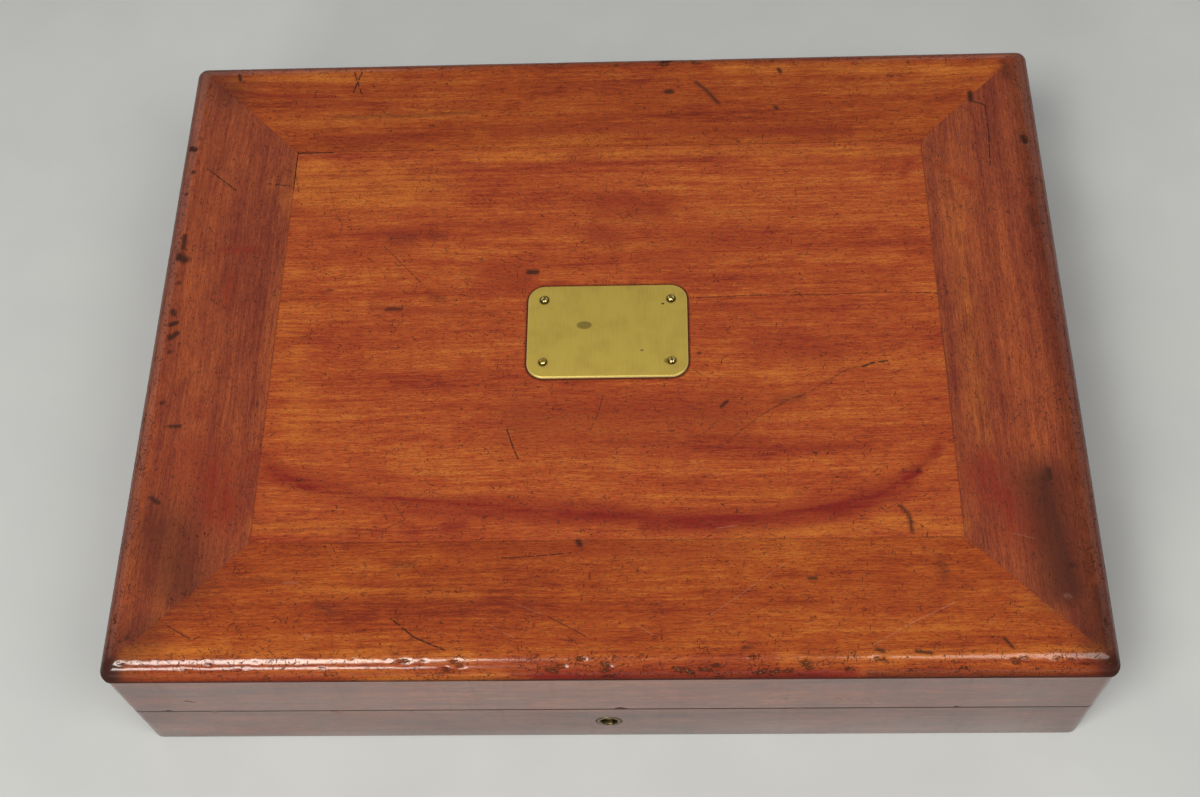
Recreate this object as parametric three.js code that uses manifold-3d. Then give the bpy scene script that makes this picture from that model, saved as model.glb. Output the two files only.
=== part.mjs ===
// Flatware chest: a shallow mahogany box with a hinged lid, a flush box lock and a blank brass plate.
// Millimetres. X runs along the width, Y from front to back, Z up.
// The origin is on the surface that the chest stands on, under the middle of its overall box.

import * as THREE from "three";
import { mergeVertices } from "three/addons/utils/BufferGeometryUtils.js";
import Module from "manifold-3d";

const wasm = await Module();
wasm.setup();

// Case: base and lid are sawn from one box, so they share width, depth and wall
const caseWidth = 456;
const caseDepth = 353;
const wallThickness = 12.7;
const cornerRadius = 5;
const baseHeight = 41.3;
const lidSideHeight = 42.2;
const splitGap = 0.4;
const bottomThickness = 6;

// Lid top: a mitred frame round a flush panel, with a rounded edge above a narrow square band
const topThickness = 11;
const topOverhang = 0.5;
const topBorder = 63.5;
const topBand = 1.5;
const tongueLength = 6;
const tongueThickness = 4;

// Brass plate on the panel, a little off the middle, and its round-head screws
const plateWidth = 79.4;
const plateDepth = 52.9;
const plateThickness = 1.2;
const plateBevel = 0.5;
const plateCornerRadius = 8.5;
const plateRight = 1;
const plateForward = 1;
const plateScrewInsetX = 8.1;
const plateScrewInsetY = 8.55;
const plateScrewHeadRadius = 2.25;
const plateScrewHeadHeight = 1.5;
const plateScrewShankRadius = 1.2;
const plateScrewCover = 2.9;

// Stop hinges, let into the back edges: their rear bevels meet when the lid is open
const lidOpening = THREE.MathUtils.degToRad(98);
const stopFreedom = THREE.MathUtils.degToRad(0.5);
const hingeFromEnd = 78;
const leafLength = 38;
const leafThickness = 3;
const wallBehindLeaf = 2;
const knuckleRadius = 2.2;
const knuckleCount = 3;
const knuckleEndGap = 0.2;
const knuckleClearance = 0.25;
const hingePinRadius = 1;
const hingeScrewMargin = 5.5;

// Countersunk screws of the hinges and the lock
const screwHeadRadius = 2.2;
const screwHeadDepth = 1.1;
const screwShankRadius = 1.1;
const screwLength = 12;
const screwTipLength = 2.5;
const driverSlotWidth = 0.6;
const driverSlotDepth = 0.5;

// Box lock in the middle of the front
const lockSheet = 1.2;
const lockFrontCover = 2.9;
const lockBelowKeyhole = 3.8;
const selvedgeLug = 8.8;
const selvedgeThickness = 1.6;
const keyholeRadius = 4.2;
const nozzleWall = 1.8;
const nozzleProud = 0.3;
const keyPinRadius = 1.25;
const keyPinRecess = 1;

// Bolt, its spring, and the eyes of the link plate that its fingers slide through
const boltTravel = 4.5;
const boltStop = 0.5;
const boltRunning = 0.3;
const boltThickness = 3;
const boltBarHeight = 4;
const boltBarAboveKeyhole = 2.9;
const boltPostWidth = 3;
const boltFingerHeight = 3.2;
const boltFingerLead = 0.8;
const talonWidth = 5;
const talonHeight = 1.7;
const guideWidth = 4;
const guideHeight = 2;
const guideInset = 7;
const eyeSpacing = 24;
const eyeThickness = 2;
const eyeWidth = 6;
const eyeHoleWidth = 3.6;
const eyeHoleHeight = 4;
const eyeHoleDrop = 6.5;
const eyeWeb = 1.6;
const eyeAboveBar = 1.3;
const eyeFreedom = 0.6;
const springSpan = 12;
const springThickness = 0.7;
const springWidth = 2.6;

// Linings and racks
const liningThickness = 1.4;
const liningBelowRim = 1.5;
const dividerThickness = 8;
const dividerBelowRim = 4.6;
const combThickness = 10;
const combBelowRim = 9.6;
const combFoot = 8;
const combNotches = 6;
const combToothWidth = 22;
const combNotchRadius = 7;
const combFromWall = 42;
const combFromDivider = 50;
const knifeCount = 12;
const railThickness = 12;
const railAboveRim = 16.7;
const railFoot = 7;
const railNotchWidth = 10;
const railNotchRadius = 3;
const railFromFront = 92.3;
const railFromBack = 77.3;

// Fits
const glueLine = 0.1;
const runningFit = 0.1;
const letInFit = 0.15;
const rackFit = 0.3;
const overrun = 4;

// Facets
const cornerSegments = 3;
const notchSegments = 2;
const roundOverSegments = 5;
const screwSegments = 12;
const headRings = 3;
const pinSegments = 16;
const knuckleSegments = 24;
const keySegments = 32;
const springSegments = 8;

// Heights and plan sizes of the case and its top
const splitHeight = baseHeight + splitGap / 2;
const lidRim = baseHeight + splitGap;
const topUnderside = lidRim + lidSideHeight + glueLine;
const topHeight = topUnderside + topThickness;
const topWidth = caseWidth + 2 * topOverhang;
const topDepth = caseDepth + 2 * topOverhang;
const roundOver = topThickness - topBand;
const rebateWidth = wallThickness / 2;

// Plate and screws
const plateTop = topHeight + glueLine + plateThickness;
const plateScrewSeat = plateTop + glueLine;
const plateScrewLength = plateScrewSeat - topUnderside - plateScrewCover;

// Hinges
const hingeOffset = caseWidth / 2 - hingeFromEnd;
const leafDepth = wallThickness - wallBehindLeaf;
const leafSink = splitGap / 2 + leafThickness;
const stopReach = leafSink / Math.tan(lidOpening / 2 + stopFreedom);
const hingeScrewInset = (leafDepth + knuckleRadius + knuckleClearance) / 2;
const hingeScrewPitch = leafLength / 2 - hingeScrewMargin;

// Lock, from front to back, then across, then down from the rim
const frontInside = -caseDepth / 2 + wallThickness;
const lockFront = -caseDepth / 2 + lockFrontCover;
const lockMiddle = (lockFront + frontInside) / 2;
const boltFingerLength = boltTravel + boltStop - boltFingerLead;
const boltHalf = (eyeSpacing + eyeThickness) / 2 + boltFingerLead + boltFingerLength + boltPostWidth;
const lockWidth = 2 * (boltHalf + boltTravel + boltStop + lockSheet);
const selvedgeLength = lockWidth + 2 * selvedgeLug;
const selvedgeScrewSpan = lockWidth + selvedgeLug;
const selvedgeUnderside = baseHeight - selvedgeThickness;
const eyeFoot = baseHeight - eyeHoleDrop - eyeHoleHeight / 2 - eyeWeb;
const boltBarHigh = eyeFoot - eyeAboveBar;
const boltBarLow = boltBarHigh - boltBarHeight;
const keyholeHeight = boltBarLow - boltBarAboveKeyhole;
const lockFoot = keyholeHeight - keyholeRadius - lockBelowKeyhole;
const nozzleRadius = keyholeRadius + nozzleWall;

// Inside of the linings
const linedWidth = caseWidth - 2 * wallThickness - 2 * glueLine;
const linedDepth = caseDepth - 2 * wallThickness - 2 * glueLine;
const clearWidth = linedWidth - 2 * liningThickness;
const clearDepth = linedDepth - 2 * liningThickness;
const rackFootHeight = bottomThickness + 2 * glueLine + liningThickness;
const railTopHeight = topUnderside - 2 * glueLine - liningThickness;

const mahogany = new THREE.MeshStandardMaterial({ color: 0x7a3a1e, roughness: 0.25 });
const panelWood = new THREE.MeshStandardMaterial({ color: 0xa14e26, roughness: 0.22 });
const bottomWood = new THREE.MeshStandardMaterial({ color: 0x8a6440, roughness: 0.7 });
const brass = new THREE.MeshStandardMaterial({ color: 0xb09a4e, roughness: 0.35, metalness: 1 });
const steel = new THREE.MeshStandardMaterial({ color: 0x6f7276, roughness: 0.35, metalness: 1 });
const cloth = new THREE.MeshStandardMaterial({ color: 0x2f4a3a, roughness: 0.95 });

// Solids from three.js geometry, and back

function solidOf(geometry) {
  const bare = geometry.index ? geometry.toNonIndexed() : geometry.clone();
  bare.deleteAttribute("normal");
  bare.deleteAttribute("uv");
  const merged = mergeVertices(bare);
  const corners = merged.index.array;
  const kept = [];
  for (let i = 0; i < corners.length; i += 3) {
    const [a, b, c] = corners.slice(i, i + 3);
    if (a !== b && b !== c && c !== a) kept.push(a, b, c);
  }
  const mesh = new wasm.Mesh({
    numProp: 3,
    vertProperties: merged.attributes.position.array,
    triVerts: new Uint32Array(kept),
  });
  return new wasm.Manifold(mesh);
}

function geometryOf(solid) {
  const { numProp, vertProperties, triVerts } = solid.getMesh();
  const geometry = new THREE.BufferGeometry();
  geometry.setAttribute("position", new THREE.BufferAttribute(vertProperties, numProp));
  geometry.setIndex(new THREE.BufferAttribute(triVerts, 1));
  const faceted = geometry.toNonIndexed();
  faceted.computeVertexNormals();
  return faceted;
}

function join(...pieces) {
  return geometryOf(pieces.map(solidOf).reduce((a, b) => a.add(b)));
}

function cut(piece, ...tools) {
  return geometryOf(tools.map(solidOf).reduce((a, b) => a.subtract(b), solidOf(piece)));
}

function common(...pieces) {
  return geometryOf(pieces.map(solidOf).reduce((a, b) => a.intersect(b)));
}

// Simple forms: each span is [low, high]

function block([x0, x1], [y0, y1], [z0, z1]) {
  const box = new THREE.BoxGeometry(x1 - x0, y1 - y0, z1 - z0);
  return box.translate((x0 + x1) / 2, (y0 + y1) / 2, (z0 + z1) / 2);
}

function about(middle, size) {
  return [middle - size / 2, middle + size / 2];
}

function polygon(points) {
  return new THREE.Shape(points.map(([u, v]) => new THREE.Vector2(u, v)));
}

function extrude(shape, length, curveSegments = cornerSegments) {
  return new THREE.ExtrudeGeometry(shape, { depth: length, bevelEnabled: false, curveSegments });
}

// A plan outline in X and Y
function prismUp(shape, [z0, z1], curveSegments) {
  return extrude(shape, z1 - z0, curveSegments).translate(0, 0, z0);
}

// An end view in Y and Z
function prismAcross(shape, [x0, x1], curveSegments) {
  const turn = new THREE.Matrix4().makeBasis(
    new THREE.Vector3(0, 1, 0),
    new THREE.Vector3(0, 0, 1),
    new THREE.Vector3(1, 0, 0),
  );
  return extrude(shape, x1 - x0, curveSegments).applyMatrix4(turn).translate(x0, 0, 0);
}

// A front view in X and Z
function prismBack(shape, [y0, y1], curveSegments) {
  return extrude(shape, y1 - y0, curveSegments).rotateX(Math.PI / 2).translate(0, y1, 0);
}

function rodUp(radius, [z0, z1], segments) {
  const rod = new THREE.CylinderGeometry(radius, radius, z1 - z0, segments);
  return rod.rotateX(Math.PI / 2).translate(0, 0, (z0 + z1) / 2);
}

function rodAcross(radius, [x0, x1], segments) {
  const rod = new THREE.CylinderGeometry(radius, radius, x1 - x0, segments);
  return rod.rotateZ(Math.PI / 2).translate((x0 + x1) / 2, 0, 0);
}

function rodBack(radius, [y0, y1], x, z, segments) {
  const rod = new THREE.CylinderGeometry(radius, radius, y1 - y0, segments);
  return rod.translate(x, (y0 + y1) / 2, z);
}

// A profile of [radius, height] points, from the axis to the axis, turned about Z
function turned(profile, segments) {
  const points = profile.map(([radius, height]) => new THREE.Vector2(radius, height));
  return new THREE.LatheGeometry(points, segments).rotateX(Math.PI / 2);
}

function roundedRectangle(width, depth, radius) {
  const x = width / 2 - radius;
  const y = depth / 2 - radius;
  const quarter = Math.PI / 2;
  const shape = new THREE.Shape();
  shape.absarc(x, y, radius, 0, quarter);
  shape.absarc(-x, y, radius, quarter, 2 * quarter);
  shape.absarc(-x, -y, radius, 2 * quarter, 3 * quarter);
  shape.absarc(x, -y, radius, 3 * quarter, 4 * quarter);
  shape.closePath();
  return shape;
}

function rectangle(width, depth) {
  const x = width / 2;
  const y = depth / 2;
  return polygon([[-x, -y], [x, -y], [x, y], [-x, y]]);
}

// Frames of four mitred sides: each side is made as the front one, facing -Y, and turned to its place

const sides = {
  front: { turn: 0, alongWidth: true },
  right: { turn: Math.PI / 2, alongWidth: false },
  back: { turn: Math.PI, alongWidth: true },
  left: { turn: -Math.PI / 2, alongWidth: false },
};

function sideSize(side, width, depth) {
  return sides[side].alongWidth ? { length: width, across: depth } : { length: depth, across: width };
}

// Plan area that one mitred side may fill, set back from the mitre by half a glue line
function mitreField(length, across, reach) {
  const setBack = glueLine / Math.SQRT2;
  const outer = length / 2 + overrun - setBack;
  const inner = length / 2 - reach - setBack;
  const outside = -across / 2 - overrun;
  const inside = -across / 2 + reach;
  return polygon([[-outer, outside], [outer, outside], [inner, inside], [-inner, inside]]);
}

function caseSide(side, [z0, z1]) {
  const { length, across } = sideSize(side, caseWidth, caseDepth);
  const outline = roundedRectangle(length, across, cornerRadius);
  outline.holes.push(rectangle(length - 2 * wallThickness, across - 2 * wallThickness));
  const field = mitreField(length, across, wallThickness + overrun);
  return common(prismUp(outline, [z0, z1]), prismUp(field, [z0 - overrun, z1 + overrun]));
}

function bottomRebate(side) {
  const { length, across } = sideSize(side, caseWidth, caseDepth);
  const reach = wallThickness - rebateWidth;
  return block(
    about(0, length - 2 * reach),
    about(0, across - 2 * reach),
    [-overrun, bottomThickness + glueLine],
  );
}

function bottomBoard() {
  const reach = wallThickness - rebateWidth + glueLine;
  return block(about(0, caseWidth - 2 * reach), about(0, caseDepth - 2 * reach), [0, bottomThickness]);
}

// Member of the top frame: round-over outside, groove for the panel's tongue inside
function topMember(side) {
  const { length, across } = sideSize(side, topWidth, topDepth);
  const outside = -across / 2;
  const inside = outside + topBorder;
  const low = topUnderside;
  const high = topHeight;
  const [grooveLow, grooveHigh] = about((low + high) / 2, tongueThickness + 2 * glueLine);
  const grooveEnd = inside - tongueLength;
  const section = new THREE.Shape();
  section.moveTo(inside, low);
  section.lineTo(inside, grooveLow);
  section.lineTo(grooveEnd, grooveLow);
  section.lineTo(grooveEnd, grooveHigh);
  section.lineTo(inside, grooveHigh);
  section.lineTo(inside, high);
  section.absarc(outside + roundOver, high - roundOver, roundOver, Math.PI / 2, Math.PI);
  section.lineTo(outside, low);
  section.closePath();
  const height = [low - overrun, high + overrun];
  return common(
    prismAcross(section, about(0, length), roundOverSegments),
    prismUp(roundedRectangle(length, across, cornerRadius), height),
    prismUp(mitreField(length, across, topBorder + overrun), height),
  );
}

function topPanel() {
  const width = topWidth - 2 * topBorder - 2 * glueLine;
  const depth = topDepth - 2 * topBorder - 2 * glueLine;
  const tongue = 2 * (tongueLength - glueLine);
  return join(
    block(about(0, width), about(0, depth), [topUnderside, topHeight]),
    block(
      about(0, width + tongue),
      about(0, depth + tongue),
      about((topUnderside + topHeight) / 2, tongueThickness),
    ),
  );
}

// Countersunk screw, pointing down, with the top of its head at the origin
function countersunkScrew() {
  const body = turned(
    [
      [0, -screwLength],
      [screwShankRadius, -screwLength + screwTipLength],
      [screwShankRadius, -screwHeadDepth],
      [screwHeadRadius, 0],
      [0, 0],
    ],
    screwSegments,
  );
  const slot = block(
    about(0, 2 * screwHeadRadius + overrun),
    about(0, driverSlotWidth),
    [-driverSlotDepth, overrun],
  );
  return cut(body, slot);
}

function countersunkHole() {
  return turned(
    [
      [0, -screwLength - glueLine],
      [screwShankRadius + glueLine, -screwLength + screwTipLength],
      [screwShankRadius + glueLine, -screwHeadDepth],
      [screwHeadRadius + glueLine, 0],
      [screwHeadRadius + glueLine, overrun],
      [0, overrun],
    ],
    screwSegments,
  );
}

// Round-head screw, pointing down, with the underside of its head at the origin
function roundHeadScrew() {
  const dome = [];
  for (let ring = 0; ring < headRings; ring += 1) {
    const angle = (ring / headRings) * (Math.PI / 2);
    dome.push([plateScrewHeadRadius * Math.cos(angle), plateScrewHeadHeight * Math.sin(angle)]);
  }
  const body = turned(
    [
      [0, -plateScrewLength],
      [plateScrewShankRadius, -plateScrewLength + screwTipLength],
      [plateScrewShankRadius, 0],
      ...dome,
      [0, plateScrewHeadHeight],
    ],
    screwSegments,
  );
  const slot = block(
    about(0, 2 * plateScrewHeadRadius + overrun),
    about(0, driverSlotWidth),
    [plateScrewHeadHeight - driverSlotDepth, plateScrewHeadHeight + overrun],
  );
  return cut(body, slot);
}

function roundHeadHole() {
  return turned(
    [
      [0, -plateScrewLength - glueLine],
      [plateScrewShankRadius + glueLine, -plateScrewLength + screwTipLength],
      [plateScrewShankRadius + glueLine, overrun],
      [0, overrun],
    ],
    screwSegments,
  );
}

function plateScrewPlaces() {
  const places = [];
  for (const y of about(-plateForward, plateDepth - 2 * plateScrewInsetY)) {
    for (const x of about(plateRight, plateWidth - 2 * plateScrewInsetX)) places.push([x, y]);
  }
  return places;
}

function plateScrewHoles() {
  return plateScrewPlaces().map(([x, y]) => roundHeadHole().translate(x, y, plateScrewSeat));
}

// Plate with a bevel round its upper edge
function namePlate() {
  const bevelled = new THREE.ExtrudeGeometry(roundedRectangle(plateWidth, plateDepth, plateCornerRadius), {
    depth: plateThickness,
    bevelThickness: plateBevel,
    bevelSize: plateBevel,
    bevelOffset: -plateBevel,
    bevelSegments: 1,
    curveSegments: cornerSegments,
  });
  const keep = block(
    about(0, plateWidth + overrun),
    about(0, plateDepth + overrun),
    [plateBevel, plateBevel + plateThickness + overrun],
  );
  const plate = common(bevelled, keep);
  plate.translate(plateRight, -plateForward, topHeight + glueLine - plateBevel);
  return cut(plate, ...plateScrewHoles());
}

// Hinges. Each form has the hinge's axis on X through the origin; rise is -1 for the base and 1 for the lid

// The base leaf has the first knuckle and every second one after it, and the lid leaf has the others
function knuckleSpans(rise) {
  const pitch = leafLength / knuckleCount;
  const spans = [];
  for (let i = rise > 0 ? 1 : 0; i < knuckleCount; i += 2) {
    spans.push(about((i + 1 / 2) * pitch - leafLength / 2, pitch - knuckleEndGap));
  }
  return spans;
}

function hingeScrewPlaces() {
  return [-hingeScrewPitch, 0, hingeScrewPitch];
}

function hingeScrewHole(x, rise) {
  const hole = countersunkHole();
  if (rise > 0) hole.rotateX(Math.PI);
  return hole.translate(x, -hingeScrewInset, (rise * splitGap) / 2);
}

function hingeLeaf(rise) {
  const face = splitGap / 2;
  const faceEnd = (stopReach * face) / leafSink;
  const section = polygon([
    [-leafDepth, rise * face],
    [faceEnd, rise * face],
    [stopReach, rise * leafSink],
    [-leafDepth, rise * leafSink],
  ]);
  const blank = join(
    prismAcross(section, about(0, leafLength)),
    ...knuckleSpans(rise).map((span) => rodAcross(knuckleRadius, span, knuckleSegments)),
  );
  const gaps = knuckleSpans(-rise).map(([x0, x1]) => [x0 - knuckleEndGap, x1 + knuckleEndGap]);
  return cut(
    blank,
    ...gaps.map((span) => rodAcross(knuckleRadius + knuckleClearance, span, knuckleSegments)),
    rodAcross(hingePinRadius + runningFit, about(0, leafLength + overrun), pinSegments),
    ...hingeScrewPlaces().map((x) => hingeScrewHole(x, rise)),
  );
}

function hingePin() {
  return rodAcross(hingePinRadius, about(0, leafLength), pinSegments);
}

// Recess and screw holes for one leaf, in a back side that is still made as a front one
function hingeSeat(x, rise) {
  const recess = block(
    about(0, leafLength + 2 * letInFit),
    [-leafDepth - letInFit, overrun],
    rise > 0 ? [-overrun, leafSink + letInFit] : [-leafSink - letInFit, overrun],
  );
  const tools = [recess, ...hingeScrewPlaces().map((place) => hingeScrewHole(place, rise))];
  return tools.map((tool) => tool.rotateZ(Math.PI).translate(x, -caseDepth / 2, splitHeight));
}

// Lock

const fingerHeights = about(baseHeight - eyeHoleDrop, boltFingerHeight);
const eyeHoleHeights = about(baseHeight - eyeHoleDrop, eyeHoleHeight);
const eyePlaces = about(0, eyeSpacing);

// Where the post of the bolt that serves one eye stands
function boltPost(eye) {
  const fingerStart = eye - eyeThickness / 2 - boltFingerLead - boltFingerLength;
  return [fingerStart - boltPostWidth, fingerStart];
}

function lockScrewHole(x, rise) {
  const hole = countersunkHole();
  if (rise > 0) hole.rotateX(Math.PI);
  return hole.translate(x, lockMiddle, splitHeight + (rise * splitGap) / 2);
}

function lockCase() {
  const wide = about(0, lockWidth);
  const backEdge = frontInside - lockSheet - glueLine;
  const shell = join(
    block(wide, [lockFront, backEdge], [lockFoot, selvedgeUnderside]),
    block(about(0, selvedgeLength), [lockFront, frontInside], [selvedgeUnderside, baseHeight]),
  );
  const hollow = block(
    about(0, lockWidth - 2 * lockSheet),
    [lockFront + lockSheet, frontInside + overrun],
    [lockFoot + lockSheet, selvedgeUnderside],
  );
  const slots = eyePlaces.map((x) =>
    block(
      about(x, eyeThickness + 2 * eyeFreedom),
      about(lockMiddle, eyeWidth + 2 * eyeFreedom),
      [selvedgeUnderside - glueLine, baseHeight + overrun],
    ),
  );
  const keyhole = rodBack(keyholeRadius, [lockFront - overrun, lockMiddle], 0, keyholeHeight, keySegments);
  const screwHoles = about(0, selvedgeScrewSpan).map((x) => lockScrewHole(x, -1));
  const guides = about(0, 2 * (boltHalf - guideInset)).map((x) =>
    block(
      about(x, guideWidth),
      [lockFront, lockMiddle + boltThickness / 2],
      [boltBarLow - boltRunning - guideHeight, boltBarLow - boltRunning],
    ),
  );
  return join(cut(shell, hollow, ...slots, keyhole, ...screwHoles), ...guides);
}

function lockCap() {
  const cap = block(
    about(0, lockWidth),
    [frontInside - lockSheet, frontInside],
    [lockFoot, selvedgeUnderside - glueLine],
  );
  const span = [frontInside - lockSheet - overrun, frontInside + overrun];
  return cut(cap, rodBack(keyPinRadius + runningFit, span, 0, keyholeHeight, pinSegments));
}

function keyPin() {
  const span = [-caseDepth / 2 + keyPinRecess, frontInside];
  return rodBack(keyPinRadius, span, 0, keyholeHeight, pinSegments);
}

function keyNozzle() {
  const span = [-caseDepth / 2 - nozzleProud, lockFront - glueLine];
  const bore = [span[0] - overrun, span[1] + overrun];
  return cut(
    rodBack(nozzleRadius, span, 0, keyholeHeight, keySegments),
    rodBack(keyholeRadius, bore, 0, keyholeHeight, keySegments),
  );
}

function bolt() {
  const depth = about(lockMiddle, boltThickness);
  const bar = block(about(0, 2 * boltHalf), depth, [boltBarLow, boltBarHigh]);
  const fingers = eyePlaces.flatMap((eye) => {
    const [left, right] = boltPost(eye);
    return [
      block([left, right], depth, [boltBarLow, fingerHeights[1]]),
      block([left, right + boltFingerLength], depth, fingerHeights),
    ];
  });
  const talon = block(
    about(0, talonWidth),
    about(lockMiddle, boltThickness + overrun),
    [boltBarLow - overrun, boltBarLow + talonHeight],
  );
  return cut(join(bar, ...fingers), talon);
}

// Arched leaf that rides on the bolt and rubs under the top plate
function boltSpring() {
  const foot = boltBarHigh + glueLine;
  const rise = selvedgeUnderside - boltRunning - foot;
  const half = springSpan / 2;
  const middle = (eyePlaces[0] + eyeThickness / 2 + boltPost(eyePlaces[1])[0]) / 2;
  const arch = new THREE.Shape();
  arch.absellipse(middle, foot, half, rise, 0, Math.PI, false, 0);
  arch.absellipse(middle, foot, half - springThickness, rise - springThickness, Math.PI, 0, true, 0);
  arch.closePath();
  return prismBack(arch, about(lockMiddle, springWidth), springSegments);
}

function linkPlate() {
  const plate = block(
    about(0, selvedgeLength),
    [lockFront, frontInside],
    [lidRim, lidRim + selvedgeThickness],
  );
  const eyes = eyePlaces.map((x) =>
    block(about(x, eyeThickness), about(lockMiddle, eyeWidth), [eyeFoot, lidRim]),
  );
  const holes = block(
    about(0, eyeSpacing + eyeThickness + overrun),
    about(lockMiddle, eyeHoleWidth),
    eyeHoleHeights,
  );
  const screwHoles = about(0, selvedgeScrewSpan).map((x) => lockScrewHole(x, 1));
  return cut(join(plate, ...eyes), holes, ...screwHoles);
}

// Room for the lock in the front of the base
function lockSeat() {
  const span = [-caseDepth / 2 - overrun, lockFront];
  return [
    block(
      about(0, lockWidth + 2 * letInFit),
      [lockFront - letInFit, frontInside + overrun],
      [lockFoot - letInFit, baseHeight + overrun],
    ),
    block(
      about(0, selvedgeLength + 2 * letInFit),
      [lockFront - letInFit, frontInside + overrun],
      [selvedgeUnderside - letInFit, baseHeight + overrun],
    ),
    rodBack(nozzleRadius + letInFit, span, 0, keyholeHeight, keySegments),
    ...about(0, selvedgeScrewSpan).map((x) => lockScrewHole(x, -1)),
  ];
}

// Room for the link plate in the front of the lid
function linkSeat() {
  return [
    block(
      about(0, selvedgeLength + 2 * letInFit),
      [lockFront - letInFit, frontInside + overrun],
      [lidRim - overrun, lidRim + selvedgeThickness + letInFit],
    ),
    ...about(0, selvedgeScrewSpan).map((x) => lockScrewHole(x, 1)),
  ];
}

// Linings and racks

// Cloth on a floor and four walls; the open side is at openEnd
function lining(closedEnd, openEnd) {
  const up = Math.sign(openEnd - closedEnd);
  const spanOf = (a, b) => [Math.min(a, b), Math.max(a, b)];
  return cut(
    block(about(0, linedWidth), about(0, linedDepth), spanOf(closedEnd, openEnd)),
    block(
      about(0, clearWidth),
      about(0, clearDepth),
      spanOf(closedEnd + up * liningThickness, openEnd + up * overrun),
    ),
  );
}

// Outline of a strip with round-bottomed notches in its upper edge
function notchedStrip(length, height, count, width, depth, radius) {
  const pitch = length / count;
  const bottom = height - depth;
  const strip = new THREE.Shape();
  strip.moveTo(-length / 2, 0);
  strip.lineTo(length / 2, 0);
  strip.lineTo(length / 2, height);
  for (let i = count - 1; i >= 0; i -= 1) {
    const middle = (i + 1 / 2) * pitch - length / 2;
    const [left, right] = about(middle, width);
    strip.lineTo(right, height);
    strip.lineTo(right, bottom + radius);
    strip.absarc(right - radius, bottom + radius, radius, 0, -Math.PI / 2, true);
    strip.absarc(left + radius, bottom + radius, radius, -Math.PI / 2, -Math.PI, true);
    strip.lineTo(left, height);
  }
  strip.lineTo(-length / 2, height);
  strip.closePath();
  return strip;
}

function comb() {
  const length = clearDepth - 2 * rackFit;
  const height = baseHeight - combBelowRim - rackFootHeight;
  const notchWidth = length / combNotches - combToothWidth;
  const outline = notchedStrip(length, height, combNotches, notchWidth, height - combFoot, combNotchRadius);
  return prismAcross(outline, about(0, combThickness), notchSegments);
}

function divider() {
  const height = baseHeight - dividerBelowRim - rackFootHeight;
  return block(about(0, dividerThickness), about(0, clearDepth - 2 * rackFit), [0, height]);
}

// Knife rail, made with its notches up and then turned over to hang from the ceiling
function knifeRail() {
  const length = clearWidth - 2 * rackFit;
  const height = railTopHeight - lidRim - railAboveRim;
  const outline = notchedStrip(length, height, knifeCount, railNotchWidth, height - railFoot, railNotchRadius);
  return prismBack(outline, about(0, railThickness), notchSegments).rotateX(Math.PI);
}

// Assembly

function put(parent, name, geometry, material, place = {}) {
  const mesh = new THREE.Mesh(geometry, material);
  mesh.name = name;
  mesh.position.set(place.x ?? 0, place.y ?? 0, place.z ?? 0);
  mesh.rotation.x = place.tip ?? 0;
  mesh.rotation.z = place.turn ?? 0;
  parent.add(mesh);
}

function buildBase(base) {
  const height = [0, baseHeight];
  const seats = {
    front: lockSeat(),
    back: about(0, 2 * hingeOffset).flatMap((x) => hingeSeat(x, -1)),
    left: [],
    right: [],
  };
  for (const side of Object.keys(sides)) {
    const body = cut(caseSide(side, height), bottomRebate(side), ...seats[side]);
    put(base, `base_${side}`, body, mahogany, { turn: sides[side].turn });
  }
  put(base, "base_bottom", bottomBoard(), bottomWood);
  put(base, "base_lining", lining(bottomThickness + glueLine, baseHeight - liningBelowRim), cloth);
  put(base, "bay_divider", divider(), cloth, { z: rackFootHeight });
  for (const [hand, side] of [["left", -1], ["right", 1]]) {
    const outer = clearWidth / 2 - combFromWall;
    const inner = dividerThickness / 2 + combFromDivider;
    put(base, `${hand}_outer_rack`, comb(), cloth, { x: side * outer, z: rackFootHeight });
    put(base, `${hand}_inner_rack`, comb(), cloth, { x: side * inner, z: rackFootHeight });
  }
}

function buildLid(lid) {
  const height = [lidRim, lidRim + lidSideHeight];
  const seats = {
    front: linkSeat(),
    back: about(0, 2 * hingeOffset).flatMap((x) => hingeSeat(x, 1)),
    left: [],
    right: [],
  };
  for (const side of Object.keys(sides)) {
    const body = seats[side].length ? cut(caseSide(side, height), ...seats[side]) : caseSide(side, height);
    put(lid, `lid_${side}`, body, mahogany, { turn: sides[side].turn });
  }
  for (const side of Object.keys(sides)) {
    put(lid, `top_frame_${side}`, topMember(side), mahogany, { turn: sides[side].turn });
  }
  put(lid, "top_panel", cut(topPanel(), ...plateScrewHoles()), panelWood);
  put(lid, "name_plate", namePlate(), brass);
  plateScrewPlaces().forEach(([x, y], i) => {
    put(lid, `plate_screw_${i + 1}`, roundHeadScrew(), brass, { x, y, z: plateScrewSeat });
  });
  put(lid, "lid_lining", lining(topUnderside - glueLine, lidRim + liningBelowRim), cloth);
  const frontRail = railFromFront - clearDepth / 2;
  const backRail = clearDepth / 2 - railFromBack;
  put(lid, "knife_front_rail", knifeRail(), cloth, { y: frontRail, z: railTopHeight });
  put(lid, "knife_back_rail", knifeRail(), cloth, { y: backRail, z: railTopHeight });
}

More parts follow.
